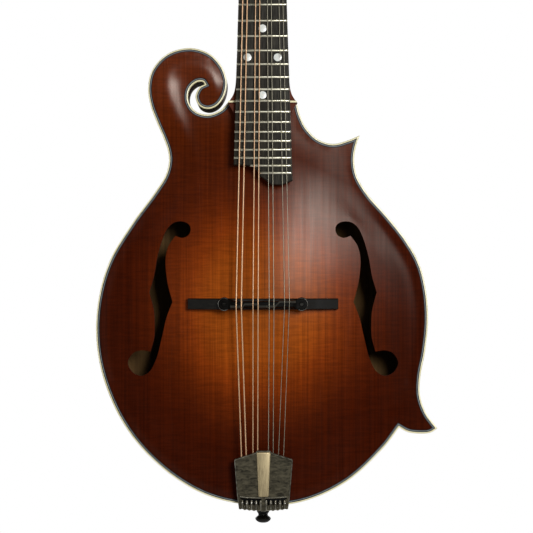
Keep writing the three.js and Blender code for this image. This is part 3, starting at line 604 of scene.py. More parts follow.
# The ridge of the scroll, from the upper bout round to the button above the gap's end:
# its line, and along it the ridge's height and the reach of its slopes.
CREST = curve_through([[-46.5, 272], [-54, 284], [-61, 297.5], [-66, 309], [-71, 321.5],
                       [-74.2, 331], [-74.5, 339.5], [-71.5, 346], [-66, 350.6], [-58, 352.2],
                       [-49.5, 350.2], [-42.8, 345.2], [-38.4, 338.5], [-35.6, 331.5],
                       [-35.4, 326.5]], 0.8)
CREST_AT = (0, 0.12, 0.42, 0.65, 0.8, 0.92, 0.97, 1)
CREST_HIGH = (0, 0.7, 2, 2.1, 2.5, 2.5, 2.1, 1.2)
CREST_REACH = (9, 9, 11, 12, 14, 13, 12, 10)


def step(low, high, value):
    t = np.clip((value - low) / (high - low), 0, 1)
    return t * t * (3 - 2 * t)


def dome(spots, crown):
    x, z = spots[:, 0], spots[:, 1]
    reach = np.where(z < ARCH_Z, ARCH_DOWN, ARCH_UP)
    radius = np.minimum(1, np.hypot(x / ARCH_ACROSS, (z - ARCH_Z) / reach))
    return crown * 0.5 * (1 + np.cos(np.pi * radius))


def scroll_relief(spots, edge):
    """The raised ridge that winds round the scroll, fading out on the body."""
    relief = np.zeros(len(spots))
    near = np.flatnonzero((spots[:, 1] > 255) & (spots[:, 0] < -20))
    if len(near):
        gaps = np.linalg.norm(spots[near, None, :] - CREST[None], axis=2)
        share = gaps.argmin(1) / (len(CREST) - 1)
        away = distances(spots[near], CREST, closed=False)
        slope = 1 - np.sqrt(away**2 + 0.6) / np.interp(share, CREST_AT, CREST_REACH)
        height = np.interp(share, CREST_AT, CREST_HIGH)
        relief[near] = height * np.maximum(slope, 0) ** 1.1 * step(1, 4, edge[near])
    return relief


def rise(spots, crown):
    """Height of a carved plate above the rim, apart from the scroll's ridge."""
    edge = distances(spots, OUTLINE)
    scoop = 0.5 * np.exp(-((edge - 9) / 4.5) ** 2) * step(270, 180, spots[:, 1])
    return dome(spots, crown) * step(3, 24, edge) - scoop


def eased(heights, triangles, share, rounds):
    """Heights moved towards their neighbours' average, each by its own share."""
    pairs = np.vstack([triangles[:, [0, 1]], triangles[:, [1, 2]], triangles[:, [2, 0]]])
    first, second = pairs.T
    count = np.bincount(pairs.ravel(), minlength=len(heights))
    for _ in range(rounds):
        total = (np.bincount(first, heights[second], len(heights))
                 + np.bincount(second, heights[first], len(heights)))
        heights = heights + share * (total / count - heights)
    return heights


def carved(spots, triangles, crown):
    """The whole plate's height, with the creases towards its points eased."""
    edge = distances(spots, OUTLINE)
    x, z = np.abs(spots[:, 0]), spots[:, 1]
    upper = step(228, 275, z)
    lower = step(98, 116, x) * step(112, 98, z)
    share = np.maximum(upper, lower) * step(1.5, 6, edge)
    heights = eased(rise(spots, crown), triangles, share, 36)
    scroll = step(250, 262, z) * step(0.8, 2, edge)
    return eased(heights + scroll_relief(spots, edge), triangles, scroll, 3)


F_HOLE = [[-54.8, 225.4], [-56.3, 229.2], [-61.2, 231.4], [-67.6, 230.5], [-72.6, 226],
          [-76.6, 217.2], [-80.3, 204], [-82.9, 189.5], [-86.4, 177.7], [-82.9, 164],
          [-82.3, 157], [-82.6, 143.5], [-85.4, 132.6], [-92.4, 133.5], [-98.5, 131.5],
          [-102.9, 124], [-99, 116.5], [-92.5, 114.1], [-86.4, 117.2], [-81, 127.2],
          [-76.6, 144], [-73.1, 158.6], [-68.6, 170.3], [-72.6, 186], [-73.9, 203.4],
          [-71.6, 213], [-66.5, 220.4], [-61, 218.9], [-56.3, 221.2]]
F_CORNERS = (8, 12, 22, 26)


def f_hole():
    """The bass f-hole as a closed loop; curves run between its notches and necks."""
    turned_list = F_HOLE[F_CORNERS[0]:] + F_HOLE[:F_CORNERS[0] + 1]
    breaks = [c - F_CORNERS[0] for c in F_CORNERS] + [len(F_HOLE)]
    return np.vstack([curve_through(turned_list[a:b + 1], 1.2)[:-1]
                      for a, b in zip(breaks, breaks[1:])])


def top_plate():
    bass = f_hole()
    treble = bass[::-1] * (-1, 1)
    outer = tidy_loop(inset(OUTLINE, TRIM, CORNERS))
    spots, triangles = flat_mesh(outer, (bass, treble), ridge=CREST[::2])
    near = FRONT - carved(spots, triangles, TOP_CROWN)
    points, faces, kinds = thick(spots, triangles, near, near + PLATE)
    finish(make("top", points, faces, [SPRUCE, INSIDE_WOOD, F_EDGE], slots=kinds), "top_plate")


def back_plate():
    outer = tidy_loop(inset(OUTLINE, BINDING + BACK_LINE, CORNERS))
    spots, triangles = flat_mesh(outer, (), 3, 1.4, CREST[::3])
    far = BACK + carved(spots, triangles, BACK_CROWN)
    points, faces, kinds = thick(spots, triangles, far - PLATE, far)
    kinds = [1 if kind == 0 else 0 for kind in kinds]
    finish(make("back", points, faces, [MAPLE, INSIDE_WOOD], slots=kinds), "back_plate")


def rim_strip(name, profile, material, *nodes):
    """A strip round the whole body: profile pairs are (distance inside the outline, y)."""
    finish(hoop(name, stepped(OUTLINE, profile, CORNERS), material), *nodes)


def binding_profile(face, towards):
    """A binding's section with a rounded outer corner; towards is +1 going into the body."""
    depth = PLATE * towards
    return [(0, face + depth), (0, face + 0.8 * towards), (0.25, face + 0.25 * towards),
            (0.8, face), (BINDING, face), (BINDING, face + depth)]


def line_profile(face, outer, inner, towards):
    depth = PLATE * towards
    return [(outer, face + depth), (outer, face), (inner, face), (inner, face + depth)]


def trim():
    rim_strip("front_binding", binding_profile(FRONT, 1), IVOROID, "top_binding")
    rim_strip("back_binding_strip", binding_profile(BACK, -1), IVOROID, "back_binding")
    outer, inner = BINDING + LINE, TRIM - LINE
    rim_strip("front_line_outer", line_profile(FRONT, BINDING, outer, 1), BLACK_LINE_AND_SHADE)
    rim_strip("front_line_grey", line_profile(FRONT, outer, inner, 1), GREY_LINE, "top_purfling")
    rim_strip("front_line_inner", line_profile(FRONT, inner, TRIM, 1), BLACK_LINE_AND_SHADE)
    rim_strip("back_line", line_profile(BACK, BINDING, BINDING + BACK_LINE, -1), BLACK_LINE_AND_SHADE)


RIB_FRONT = FRONT + PLATE
RIB_BACK = BACK - PLATE


def ribs():
    """Bent sides: one strip from the neck round the scroll to the tail, one on the treble."""
    inner = inset(OUTLINE, 2, CORNERS)
    tail, bass, treble = (outline_index(p) for p in (TAIL, NECK_BASS, NECK_TREBLE))
    around = len(OUTLINE)
    for side_name, start, end in (("bass", bass, tail), ("treble", tail, treble + around)):
        last = end + 1 if end > start else end + around + 1
        sections = []
        for i in (k % around for k in range(start, last)):
            (x0, z0), (x1, z1) = OUTLINE[i], inner[i]
            sections.append([(x0, RIB_FRONT, z0), (x0, RIB_BACK, z0),
                             (x1, RIB_BACK, z1), (x1, RIB_FRONT, z1)])
        finish(loft(f"{side_name}_side", sections, MAPLE, crease=50), f"{side_name}_rib")
    facing = ((-26.3, 322.3), (25.4, 322.3), (24.2, 320.4), (-25, 320.4))
    finish(loft("joint_facing", [[(x, y, z) for x, z in facing] for y in (RIB_FRONT, RIB_BACK)],
                MAPLE))


# ---- neck, headstock and fingerboard
def fret_z(n):
    return SCALE_LENGTH * (2 ** (-n / 12) - 2 ** (-BODY_FRET / 12))


def board_half(z):
    return NUT_HALF + (NUT_Z - z) * (BODY_HALF - NUT_HALF) / NUT_Z


NECK_ARCS = 28


def neck_section(z, half, depth):
    """A rounded D: flat under the fingerboard, a soft shoulder, then the curved back."""
    section = [(-half, NECK_TOP, z), (half, NECK_TOP, z)]
    for k in range(NECK_ARCS + 1):
        angle = math.pi * k / NECK_ARCS
        bulge = math.sin(angle) ** 0.9
        section.append((half * math.cos(angle), NECK_TOP + 1.5 + depth * bulge, z))
    return section


# Half width and depth of the neck along it, from inside the body joint up to the nut.
NECK_PROFILE = [(-0.6, 26.3, 45.2), (0, 26, 45), (1.5, 24.6, 43.8), (3, 23.6, 42), (6, 21.9, 37),
                (10, 20.9, 30), (14, 20.4, 24.8), (18, 20.1, 20.8), (24, 19.9, 17.8),
                (30, 19.7, 16.4), (60, 18.9, 14), (120, 17.1, 13.4), (180, 15.2, 12.8),
                (NUT_Z - 8, 14.5, 12.7), (NUT_Z + 4, 14.6, 13), (NUT_Z + 9, 14, 14.4),
                (NUT_Z + 15, 11.5, 15.6), (NUT_Z + 21, 7, 16.6), (NUT_Z + 26, 1.2, 17)]
HEAD_SIDE = [[NUT_HALF + 0.7, 0], [16.5, 7], [21.5, 14.5], [29.5, 20], [32, 32], [31.2, 60],
             [31.6, 90], [34.5, 116], [39, 133], [37, 145], [27, 147.5], [15, 146], [7, 151],
             [0, 158]]


def neck():
    knots = np.array(NECK_PROFILE)
    stations = np.unique(np.concatenate([np.linspace(-0.6, 34, 26), np.arange(40, NUT_Z, 12),
                                         np.linspace(NUT_Z - 6, NUT_Z + 26, 24)]))
    half, depth = (np.interp(stations, knots[:, 0], knots[:, k]) for k in (1, 2))
    smooth = np.array([1, 2, 1]) / 4
    for values in (half, depth):
        for _ in range(2):
            values[1:-1] = np.convolve(values, smooth, "valid")
    sections = [neck_section(z, h, d) for z, h, d in zip(stations, half, depth)]
    lower = NUT_Z + NUT_THICK
    for section in sections:
        for i, (x, y, z) in enumerate(section):
            if z > lower:
                section[i] = (x, max(y, NECK_TOP + (z - lower) * math.tan(HEAD_ANGLE) + 1), z)
    finish(loft("neck_shaft", sections, NECK_WOOD, NECK), "neck")


def head_outline():
    side = curve_through(HEAD_SIDE, 1.2)
    return np.vstack([side, (side[:-1] * (-1, 1))[::-1]])


def headstock():
    outer = head_outline()
    rings = [(0.6, VENEER), (0, VENEER + 0.3), (0, HEAD_THICK - 1.2),
             (0.4, HEAD_THICK - 0.4), (1.4, HEAD_THICK)]
    finish(loft("headstock", stepped(outer, rings), NECK_WOOD, HEAD), "neck")
    finish(plate("headstock_veneer", outer, 0, VENEER, EBONY, place=HEAD), "headstock_face")
    edge = [(0, VENEER - 0.2), (0, -0.1), (0.3, -0.25), (1.2, -0.25), (1.2, VENEER - 0.2)]
    finish(hoop("headstock_binding", stepped(outer, edge), IVOROID, HEAD))


BOARD_END = [[-21.7, -48.5], [-14.7, -48.5], [-10.2, -49.3], [-4.4, -52.4], [-2.4, -56.3],
             [1.6, -59.4], [6.8, -63.4], [14.8, -63.4], [18.9, -61.7], [22.6, -60.3]]
SHORT_FRETS = {22: -9.4, 23: -2}
FRET_WIDE, FRET_HIGH = 1.9, 1.0


def fingerboard():
    end = np.vstack([[BOARD_END[0]], curve_through(BOARD_END[1:6], 1)[:-1],
                     curve_through(BOARD_END[5:7], 1)[:-1], curve_through(BOARD_END[6:], 1)])
    outer = np.vstack([end, [[NUT_HALF, NUT_Z], [-NUT_HALF, NUT_Z]]])
    finish(plate("fingerboard_blank", outer, 0, BOARD, BOARD_WOOD, place=NECK, edge=0.5),
           "fingerboard")


def frets():
    """All frets in one piece: half-round bars, lower at their ends."""
    points, faces = [], []
    arc = np.linspace(0, math.pi, 9)
    for n in range(1, LAST_FRET + 1):
        z = fret_z(n)
        right = board_half(z) + 0.1
        left = SHORT_FRETS.get(n, -right)
        first = len(points)
        for x, share in ((left, 0.25), (left + 0.5, 0.85), (left + 1.2, 1), (right - 1.2, 1),
                         (right - 0.5, 0.85), (right, 0.25)):
            points += [(x, 0.1 - (0.1 + FRET_HIGH * share) * math.sin(t),
                        z - FRET_WIDE / 2 * math.cos(t)) for t in arc]
        faces += grid_faces(6, len(arc), first=first)
        faces += [tuple(range(first, first + len(arc))),
                  tuple(reversed(range(len(points) - len(arc), len(points))))]
    finish(make("frets", points, faces, FRET_WIRE, NECK, crease=60))


def position_dots():
    profile = [(0.01, 0.12), (2.7, 0.12), (3, 0.02), (3, -0.8), (0.01, -0.8)]
    dots = [(3, 0), (5, 0), (7, 0), (10, 0), (15, 0), (12, -11.4), (12, 11.4)]
    for i, (n, x) in enumerate(dots):
        spot = NECK @ Matrix.Translation((x, 0, (fret_z(n) + fret_z(n - 1)) / 2))
        finish(turned(f"position_dot_{i + 1}", profile, 40, PEARL, spot @ FACING_FRONT))


def nut():
    profile = [(-0.7, 0.3), (-0.95, 1.2), (-0.6, NUT_THICK - 0.4), (0, NUT_THICK),
               (BOARD, NUT_THICK), (BOARD, 0), (-0.5, 0)]
    sections = [[(x, y, NUT_Z + z) for y, z in profile]
                for x in np.linspace(-NUT_HALF, NUT_HALF, 24)]
    finish(loft("nut_bone", sections, BONE, NECK), "nut")


def riser():
    """The wood under the fingerboard's end, and ivoroid strips where it meets the body."""
    edge = [[-26.2, 320.6], [-23.6, 316], [-21.6, 311.5], [-20.6, 306], [-21, 276.5],
            [-14, 276], [-8, 273.5], [0, 267], [8, 262.5], [19.6, 264], [20.2, 306],
            [21.2, 311.5], [23, 316], [25.4, 320.6]]
    loop = np.vstack([curve_through(edge[:4], 1)[:-1], edge[3:10], curve_through(edge[10:], 1)])
    loop = loop[::-1]
    base, under_board = FRONT + 1, FRONT - NECK_RISE + NECK_TOP
    slope = -math.tan(NECK_ANGLE)
    sections = [[(x, base, z) for x, z in loop],
                [(x, under_board + (BODY_JOINT_Z - z) * slope + 0.1, z) for x, z in loop]]
    finish(loft("fingerboard_riser_wood", sections, NECK_WOOD), "fingerboard_riser")
    for side_name, low, high in (("bass", -26.4, -20.2), ("treble", 19.7, 25.5)):
        strip = [[(low, y, 322.6), (high, y, 322.6), (high, y, 321.3), (low, y, 321.3)]
                 for y in (base, under_board - 0.35)]
        finish(loft(f"neck_joint_strip_{side_name}", strip, IVOROID))


# ---- tuners
def joint_place(name):
    """Frame at a joint: Z along its axis, in millimetres."""
    joint = JOINTS[name]
    axis = Vector(joint["axis"]).normalized()
    return (Matrix.Translation(Vector(joint["pos_m"]) / MM)
            @ axis.to_track_quat("Z", "Y").to_matrix().to_4x4())


GEAR_TEETH, GEAR_OUTER, GEAR_INNER, GEAR_LOW, GEAR_HIGH = 16, 5.5, 4.6, -20.8, -17.2
WORM_PITCH, WORM_AWAY = 1.1, 33.5       # the worm's middle lies that far from the button's


def gear(name, place, body):
    loop = []
    for i in range(GEAR_TEETH):
        for share, r in ((0.1, GEAR_INNER), (0.3, GEAR_OUTER), (0.6, GEAR_OUTER),
                         (0.8, GEAR_INNER)):
            angle = ROUND * (i + share) / GEAR_TEETH
            loop.append((r * math.cos(angle), r * math.sin(angle)))
    levels = ((0.9, GEAR_LOW), (1, GEAR_LOW + 0.5), (1, GEAR_HIGH - 0.5), (0.9, GEAR_HIGH))
    finish(loft(name, [[(x * k, y * k, z) for x, y in loop] for k, z in levels], NICKEL, place,
                body))


def tuner(tag):
    """A post with its worm wheel, screw and bushing. The post's joint is the wheel's too."""
    body = f"tuner_post_{tag}"
    place = joint_place(f"{body}_turn")
    profile = [(0.01, 17), (1.6, 17), (2.5, 16.6), (2.9, 15.8), (2.9, 12.5), (2.5, 9.5),
               (2.45, 5), (2.8, 2.6), (3, 1.5), (3, GEAR_HIGH), (0.01, GEAR_HIGH)]
    finish(turned(f"post_{tag}", profile, 24, NICKEL, place, body), body)
    gear(f"worm_wheel_{tag}", place, body)
    screw = [(0.01, -22.4), (1.6, -22.3), (2.4, -21.6), (2.5, GEAR_LOW), (0.01, GEAR_LOW)]
    finish(turned(f"wheel_screw_{tag}", screw, 20, DARK_STEEL, place, body))
    bush = [(3.1, -0.4), (5, -0.4), (5, 0.5), (4.6, 1), (3.6, 1.2), (3.1, 1.2)]
    sections = [[(r * math.cos(t), r * math.sin(t), z) for r, z in bush] for t in angles(28)]
    finish(hoop(f"bushing_{tag}", sections, NICKEL, place))


def knob(tag):
    """A worm shaft with its button and screw. Z = 0 is the middle of the button."""
    body = f"tuner_knob_{tag}"
    place = joint_place(f"{body}_turn")
    thread = [(r, k * WORM_PITCH - z) for k in range(11)
              for r, z in ((1.7, 6), (2.2, 5.6), (2.2, 5.3))]
    shaft = [(0.01, -12), (1.5, -12), (1.5, -6.4)] + thread + [
        (1.5, 6), (1.5, 24), (2, 24.6), (2.7, 25.6), (2.7, 28), (0.01, 28)]
    profile = [(r, z - WORM_AWAY) for r, z in shaft]
    finish(turned(f"worm_shaft_{tag}", profile, 20, NICKEL, place, body))
    levels = ((0.3, -6.6), (0.55, -6), (0.8, -4.2), (0.95, -1.5), (1, 1), (0.97, 3.4),
              (0.84, 5.4), (0.55, 6.4), (0.2, 6.6))
    button = [[((0.8 + 0.2 * abs(math.cos(t))) * r * 8 * math.cos(t), r * 5 * math.sin(t), z)
               for t in angles(40)] for r, z in levels]
    finish(loft(f"button_{tag}", button, PEARL, place, body), body)
    screw = [(0.01, 7.2), (0.9, 7.1), (1.5, 6.7), (1.6, 6.2), (0.01, 6.2)]
    finish(turned(f"button_screw_{tag}", screw, 20, NICKEL, place, body))


def small_screw(name, place, radius=1.7):
    """A countersunk screw head, its axis along place's Z."""
    profile = [(0.01, 0.45), (0.8 * radius, 0.4), (radius, 0.1), (radius, -0.3), (0.01, -0.3)]
    head = turned(name, profile, 20, NICKEL, place)
    # The slot is a black bar across the nickel head: painted shade for the cut.
    slot = [(-radius, -0.22), (radius, -0.22), (radius, 0.22), (-radius, 0.22)]
    finish(loft(f"{name}_slot", [[(x, y, z) for x, y in slot] for z in (0.3, 0.47)], BLACK_LINE_AND_SHADE,
                place), slot="nickel")
    finish(head)


def paint(node, material):
    node.data.materials.clear()
    node.data.materials.append(material)


def tuners():
    for side_name, side in SIDES:
        for i in range(1, 5):
            tuner(f"{side_name}_{i}")
            knob(f"{side_name}_{i}")
        paint(frame["nodes"][f"tuner_plate_{side_name}"], NICKEL)
        for k, (x, z) in enumerate(((8, 31), (23.5, 31), (8, 122), (23.5, 122))):
            place = HEAD @ Matrix.Translation((side * x, HEAD_THICK + 1.6, z)) @ FACING_BACK
            small_screw(f"plate_screw_{side_name}_{k + 1}", place)


def truss_rod_parts():
    half = [[0, 0.8], [7, 1.2], [8, 5], [9, 11], [7.5, 18], [5, 24], [3, 29], [0, 31]]
    side = np.vstack([half[:3], curve_through(half[3:], 1)])
    loop = np.vstack([side, (side[1:-1] * (-1, 1))[::-1]])
    finish(plate("truss_cover", loop, -1.9, -0.3, EBONY, place=HEAD), "truss_rod_cover")
    for k, (x, z) in enumerate(((-5.5, 5.5), (5.5, 5.5), (0, 26))):
        place = HEAD @ Matrix.Translation((x, -1.95, z)) @ FACING_FRONT
        small_screw(f"cover_screw_{k + 1}", place, 1.3)


# ---- bridge
BRIDGE_HALF, BRIDGE_WIDE = 56.8, 8.3
BASE_TOP = [[29, 22], [33, 21.7], [36, 20.6], [40, 19.2], [45, 17.6], [51, 15.6],
            [BRIDGE_HALF, 13.6]]
SADDLE_CREST = [[-24.5, -1.7], [-15, -1.7], [-13.8, 0], [-4, 0], [-2.5, -1.6], [9, -1.6],
                [12.5, 1.8], [24.5, 1.8]]


KNURLS = 80                            # rim points, every other one raised
# Heights above the rim, and the block's half width and end radius.
SADDLE_LOW, CREST_LOW, SADDLE_TOP, SADDLE_HALF, SADDLE_ROUND = 25.9, 29.5, 32.55, 3.9, 4


def bridge_foot():
    """The foot, whose underside follows the top's arch."""
    mirrored = [[-x, h] for x, h in BASE_TOP[::-1]]
    crown = np.array(mirrored + [[-20, 21.4], [0, 21], [20, 21.4]] + BASE_TOP)
    stations = np.unique(np.concatenate([np.linspace(-BRIDGE_HALF, BRIDGE_HALF, 90),
                                         [-BRIDGE_HALF + 0.3, BRIDGE_HALF - 0.3]]))
    tops = np.interp(stations, crown[:, 0], crown[:, 1])
    across = np.array([-0.5, -0.5, -0.42, 0.42, 0.5, 0.5]) * BRIDGE_WIDE
    sections = []
    for x, top in zip(stations, tops):
        end = 0.4 if abs(x) > BRIDGE_HALF - 0.1 else 0
        under = rise(np.array([[x, BRIDGE_Z + a] for a in across]), TOP_CROWN) + 0.05
        side, level = top - 0.9 - end, top - end
        heights = (under[0], side, level, level, side, under[5])
        sections.append([(x, FRONT - h, BRIDGE_Z + a * (1 - end / 5))
                         for a, h in zip(across, heights)])
    finish(loft("bridge_foot", sections, EBONY, crease=30), "bridge_base")


def saddle():
    """The saddle's block, round about its posts, and the crest that carries the strings."""
    low = FRONT - SADDLE_LOW
    end = POST_SPREAD + SADDLE_ROUND
    crown = np.array([[-end, 29], [-29, 29.6], [-25.5, 29.8], [-22, 31.6], [0, 32], [22, 31.6],
                      [25.5, 29.8], [29, 29.6], [end, 29]])
    xs = np.concatenate([-end + SADDLE_ROUND * (1 - np.cos(np.linspace(0, math.pi / 2, 8))),
                         np.linspace(-28.5, 28.5, 60),
                         end - SADDLE_ROUND * (1 - np.cos(np.linspace(math.pi / 2, 0, 8)))])
    sections = []
    for x in xs:
        top = FRONT - np.interp(x, crown[:, 0], crown[:, 1])
        beyond = max(0, abs(x) - POST_SPREAD)
        round_end = math.sqrt(max(0.02, SADDLE_ROUND**2 - min(SADDLE_ROUND**2, beyond**2)))
        wide = SADDLE_HALF - 1.5 * step(25, 20, abs(x))
        if abs(x) > 25:
            wide = min(SADDLE_HALF, round_end)
        narrow = wide if abs(x) > 24 else min(wide, 2.0)
        half = [(low, wide), (low - 2, wide), (top + 0.4, narrow), (top, narrow - 0.4)]
        sections.append([(x, low, BRIDGE_Z - wide)] + [(x, y, BRIDGE_Z + z) for y, z in half]
                        + [(x, y, BRIDGE_Z - z) for y, z in half[:0:-1]])
    # The block takes the darker ebony, painted shade.
    finish(loft("saddle_body", sections, EBONY_DULL_SHADED, body="bridge_saddle", crease=30),
           "bridge_saddle")
    # The crest takes the lighter fingerboard ebony: a painted highlight along the saddle's top.
    knots = np.array(SADDLE_CREST)
    xs = np.linspace(knots[0, 0], knots[-1, 0], 90)
    profile = ((SADDLE_TOP, -0.7), (CREST_LOW, -1.5), (CREST_LOW, 1.5), (SADDLE_TOP, 0.7))
    sections = [[(x, FRONT - h, BRIDGE_Z + shift + z) for h, z in profile]
                for x, shift in zip(xs, np.interp(xs, knots[:, 0], knots[:, 1]))]
    finish(loft("saddle_crest", sections, BOARD_WOOD, body="bridge_saddle", crease=40))


def bridge_post(side_name, side):
    """A threaded post, and the knurled thumbwheel that carries the saddle on it."""
    place = Matrix.Translation((side * POST_SPREAD, FRONT, BRIDGE_Z)) @ FACING_FRONT
    thread = [(r, 17 + k * 0.7 + dz) for k in range(18)
              for r, dz in ((1.6, 0), (1.9, 0.28), (1.9, 0.38))]
    profile = [(0.01, 16.8), (1.6, 16.8)] + thread + [(1.7, 30), (1.3, 30.4), (0.01, 30.4)]
    finish(turned(f"post_screw_{side_name}", profile, 20, DARK_STEEL, place),
           f"bridge_post_{side_name}", slot="steel")
    body = f"thumbwheel_{side_name}"
    levels = ((0.42, 23.62), (0.93, 23.6), (1, 23.9), (1, 25.3), (0.93, 25.6), (0.42, 25.6))
    rim = [(5.3 if k % 2 else 5.0) for k in range(KNURLS)]
    sections = [[(r * k * math.cos(t), r * k * math.sin(t), h)
                 for r, t in zip(rim, angles(KNURLS))] for k, h in levels]
    finish(hoop(f"wheel_{side_name}", sections, DARK_STEEL, place, body), body)
    # A bright nickel ring on the dark wheel's top edge: a painted highlight on its rim.
    lip = [circle(4.55 + 0.2 * math.cos(t), 25.6 + 0.2 * math.sin(t), KNURLS) for t in angles(8)]
    finish(hoop(f"wheel_lip_{side_name}", lip, NICKEL, place, body))


def bridge():
    bridge_foot()
    saddle()
    for side_name, side in SIDES:
        bridge_post(side_name, side)


# ---- tailpiece and end pin
TAIL_X, TAIL_TILT, TAIL_RISE, TAIL_LOW = 0.4, math.atan2(5, 46), 9, 12
FIRST_SLOT, LAST_SLOT, SLOT_PITCH = 3.8, 14.3, 3.5
COVER_HALF, BROW_HALF = 18.6, 17.4
TAIL_PLACE = (Matrix.Translation((TAIL_X, FRONT - TAIL_RISE, TAIL_LOW))
              @ Matrix.Rotation(TAIL_TILT, 4, "X"))


def box_loop(x0, x1, z0, z1):
    return [[x0, z0], [x1, z0], [x1, z1], [x0, z1]]


def scallop(x):
    """Height of the tailpiece's lower edge, which dips under each slot."""
    sweep = 1.7 * (x / 18.8) ** 2
    if abs(x) < SLOT_PITCH / 2 + 0.3:
        return sweep
    return sweep + 0.3 - 0.3 * math.cos(ROUND * (abs(x) - FIRST_SLOT) / SLOT_PITCH)


def comb(side):
    """The opening over one half's slots, with a finger left standing between slots."""
    loop = []
    for k in range(4):
        x = FIRST_SLOT + SLOT_PITCH * k
        low = 4.3 + 0.5 * (x / LAST_SLOT) ** 2
        tip = 8.5 + 0.4 * (x / LAST_SLOT) ** 2
        half = [(1.15, tip - 0.3), (0.68, tip - 1.1), (0.62, low + 0.3), (0.3, low)]
        loop += [[x - a, z] for a, z in half] + [[x + a, z] for a, z in half[::-1]]
    loop = [[1.6, 8.4]] + loop + [[17.5, 9.2], [17.7, 10.4]]
    loop += [[x, 9.6 + 0.9 * (x / BROW_HALF) ** 2] for x in np.linspace(17.2, 1.6, 9)]
    return [[side * x, z] for x, z in loop]


# Rods take the lighter metal unless told otherwise: a painted highlight on the tailpiece's raised parts.
def tail_rod(name, path, radius, material=RIM_HIGHLIGHT_METAL, slot="cast_pewter"):
    finish(tube(name, path, radius, material, place=TAIL_PLACE), slot=slot)


def tail_cover():
    """The cast plate with its two combs, the dark sheet under them that paints their shade, and a rim of lighter
    metal that paints a highlight on its edges.
    """
    lower = [[x, scallop(x)] for x in np.linspace(-COVER_HALF, COVER_HALF, 120)]
    right = [[20, 12], [22.1, 39], [21.6, 39.9], [5.8, 45], [5.4, 46], [4.8, 46.4]]
    outer = np.array(lower + right + [[-x, z] for x, z in right[::-1]])
    finish(plate("tailpiece_cover", outer, 0.25, 2.6, PEWTER, [comb(-1)[::-1], comb(1)],
                 TAIL_PLACE, crease=30), "tailpiece")
    # A black sheet behind the combs: painted shade that darkens their openings.
    under = box_loop(-COVER_HALF, COVER_HALF, 3.4, 12)
    finish(plate("tailpiece_painted_shade", under, 2.7, 3, BLACK_LINE_AND_SHADE, place=TAIL_PLACE),
           slot="cast_pewter")
    # The rim in lighter metal is a painted highlight along the plate's edges.
    rim = [(0.0, 0.5), (0.0, 0.15), (0.2, -0.05), (0.6, -0.05), (0.8, 0.3)]
    finish(hoop("tailpiece_rim", stepped(outer, rim), RIM_HIGHLIGHT_METAL, TAIL_PLACE))


def tail_hanger():
    """The plate that goes down to the end pin."""
    place = Matrix.Translation((TAIL_X, 0, TAIL_LOW + 2.8)) @ FACING_BACK
    finish(plate("tailpiece_hanger", box_loop(-16, 16, -10, 22), 0, 2.6, PEWTER, place=place,
                 edge=0.5))


def centre_strip():
    right = [[3, 11.2], [3.7, 11.6], [3.95, 12.2], [5.3, 44.8], [4.8, 45.4]]
    strip = [[-3, 11.2]] + right + [[-x, z] for x, z in right[:0:-1]]
    finish(plate("centre_strip", strip, -1.1, 0.2, CHAMPAGNE, place=TAIL_PLACE, edge=0.8),
           "tailpiece_inlay")


def slots(side_name, side):
    """One half's upper edge and fingers, with a bead and a string's loop at each slot."""
    # The brow, fingers and beads are drawn in the lighter metal, a painted highlight.
    brow = [(side * x, 0.15, 10.3 + 0.9 * (x / BROW_HALF) ** 2)
            for x in np.linspace(1.2, 17.8, 14)]
    tail_rod(f"slot_brow_{side_name}", brow, 0.32)
    for k in range(5):
        x = FIRST_SLOT + SLOT_PITCH * (k - 0.5)
        foot = scallop(x)
        finger = [(side * x, y, z) for y, z in
                  ((0.7, foot + 0.5), (0.25, foot + 1.2), (0.1, 5), (0.1, 7.6), (0.4, 8.6))]
        tail_rod(f"hook_{side_name}_{k + 1}", finger, [0.5, 0.8, 0.72, 0.62, 0.3])
        if k == 0:
            continue
        bead = [(side * (x - SLOT_PITCH / 2), 0.3, foot + 1.9 + 0.5 * t)
                for t in (-1, -0.4, 0.4, 1)]
        tail_rod(f"bead_{side_name}_{k}", bead, [0.2, 0.7, 0.7, 0.2])
        loop = [(side * x + 1.15 * math.cos(t), 0.9 - 1.5 * math.sin(t),
                 7.2 - 0.7 * math.sin(t)) for t in np.linspace(-0.3, math.pi + 0.3, 14)]
        tail_rod(f"string_loop_{side_name}_{k}", loop, 0.36 if side < 0 else 0.25, NICKEL,
                 "steel")


def tailpiece():
    tail_cover()
    for side_name, side in SIDES:
        slots(side_name, side)
    tail_hanger()
    centre_strip()


def end_pin():
    profile = [(0.01, 0), (2.4, 0), (3.9, 0.5), (5.2, 1.5), (5.9, 2.5), (6.05, 3.1),
               (5.8, 3.7), (4.9, 4.5), (3.9, 5.3), (3.6, 6.1), (3.7, 6.8), (4.2, 7.5),
               (4.7, 8.2), (4.8, 9.4), (4.8, 12), (0.01, 12)]
    finish(turned("strap_pin", profile, 40, EBONY), "end_pin")


# ---- strings
THICKEST_PLAIN = 0.3
POST_WAIST, WIND_HEIGHT, WIND_PITCH = 2.5, 6.2, 2.1     # the pitch is in string radii
BEDDED = 0.1                           # how far a string sinks into the saddle's crest
# radius, x at the tailpiece, the saddle and the nut, tuner post counted from the nut
STRINGS = {
    "g1": (0.5, -16.4, -20.0, -12.4, 1), "g2": (0.5, -12.8, -16.1, -9.2, 2),
    "d1": (0.4, -7.6, -7.4, -4.3, 3), "d2": (0.4, -4.0, -3.6, -1.5, 4),
    "a1": (0.25, 4.1, 4.7, 2.9, 4), "a2": (0.25, 7.7, 8.2, 5.5, 3),
    "e1": (0.2, 11.8, 16.2, 10.1, 2), "e2": (0.2, 15.7, 19.8, 12.7, 1)}


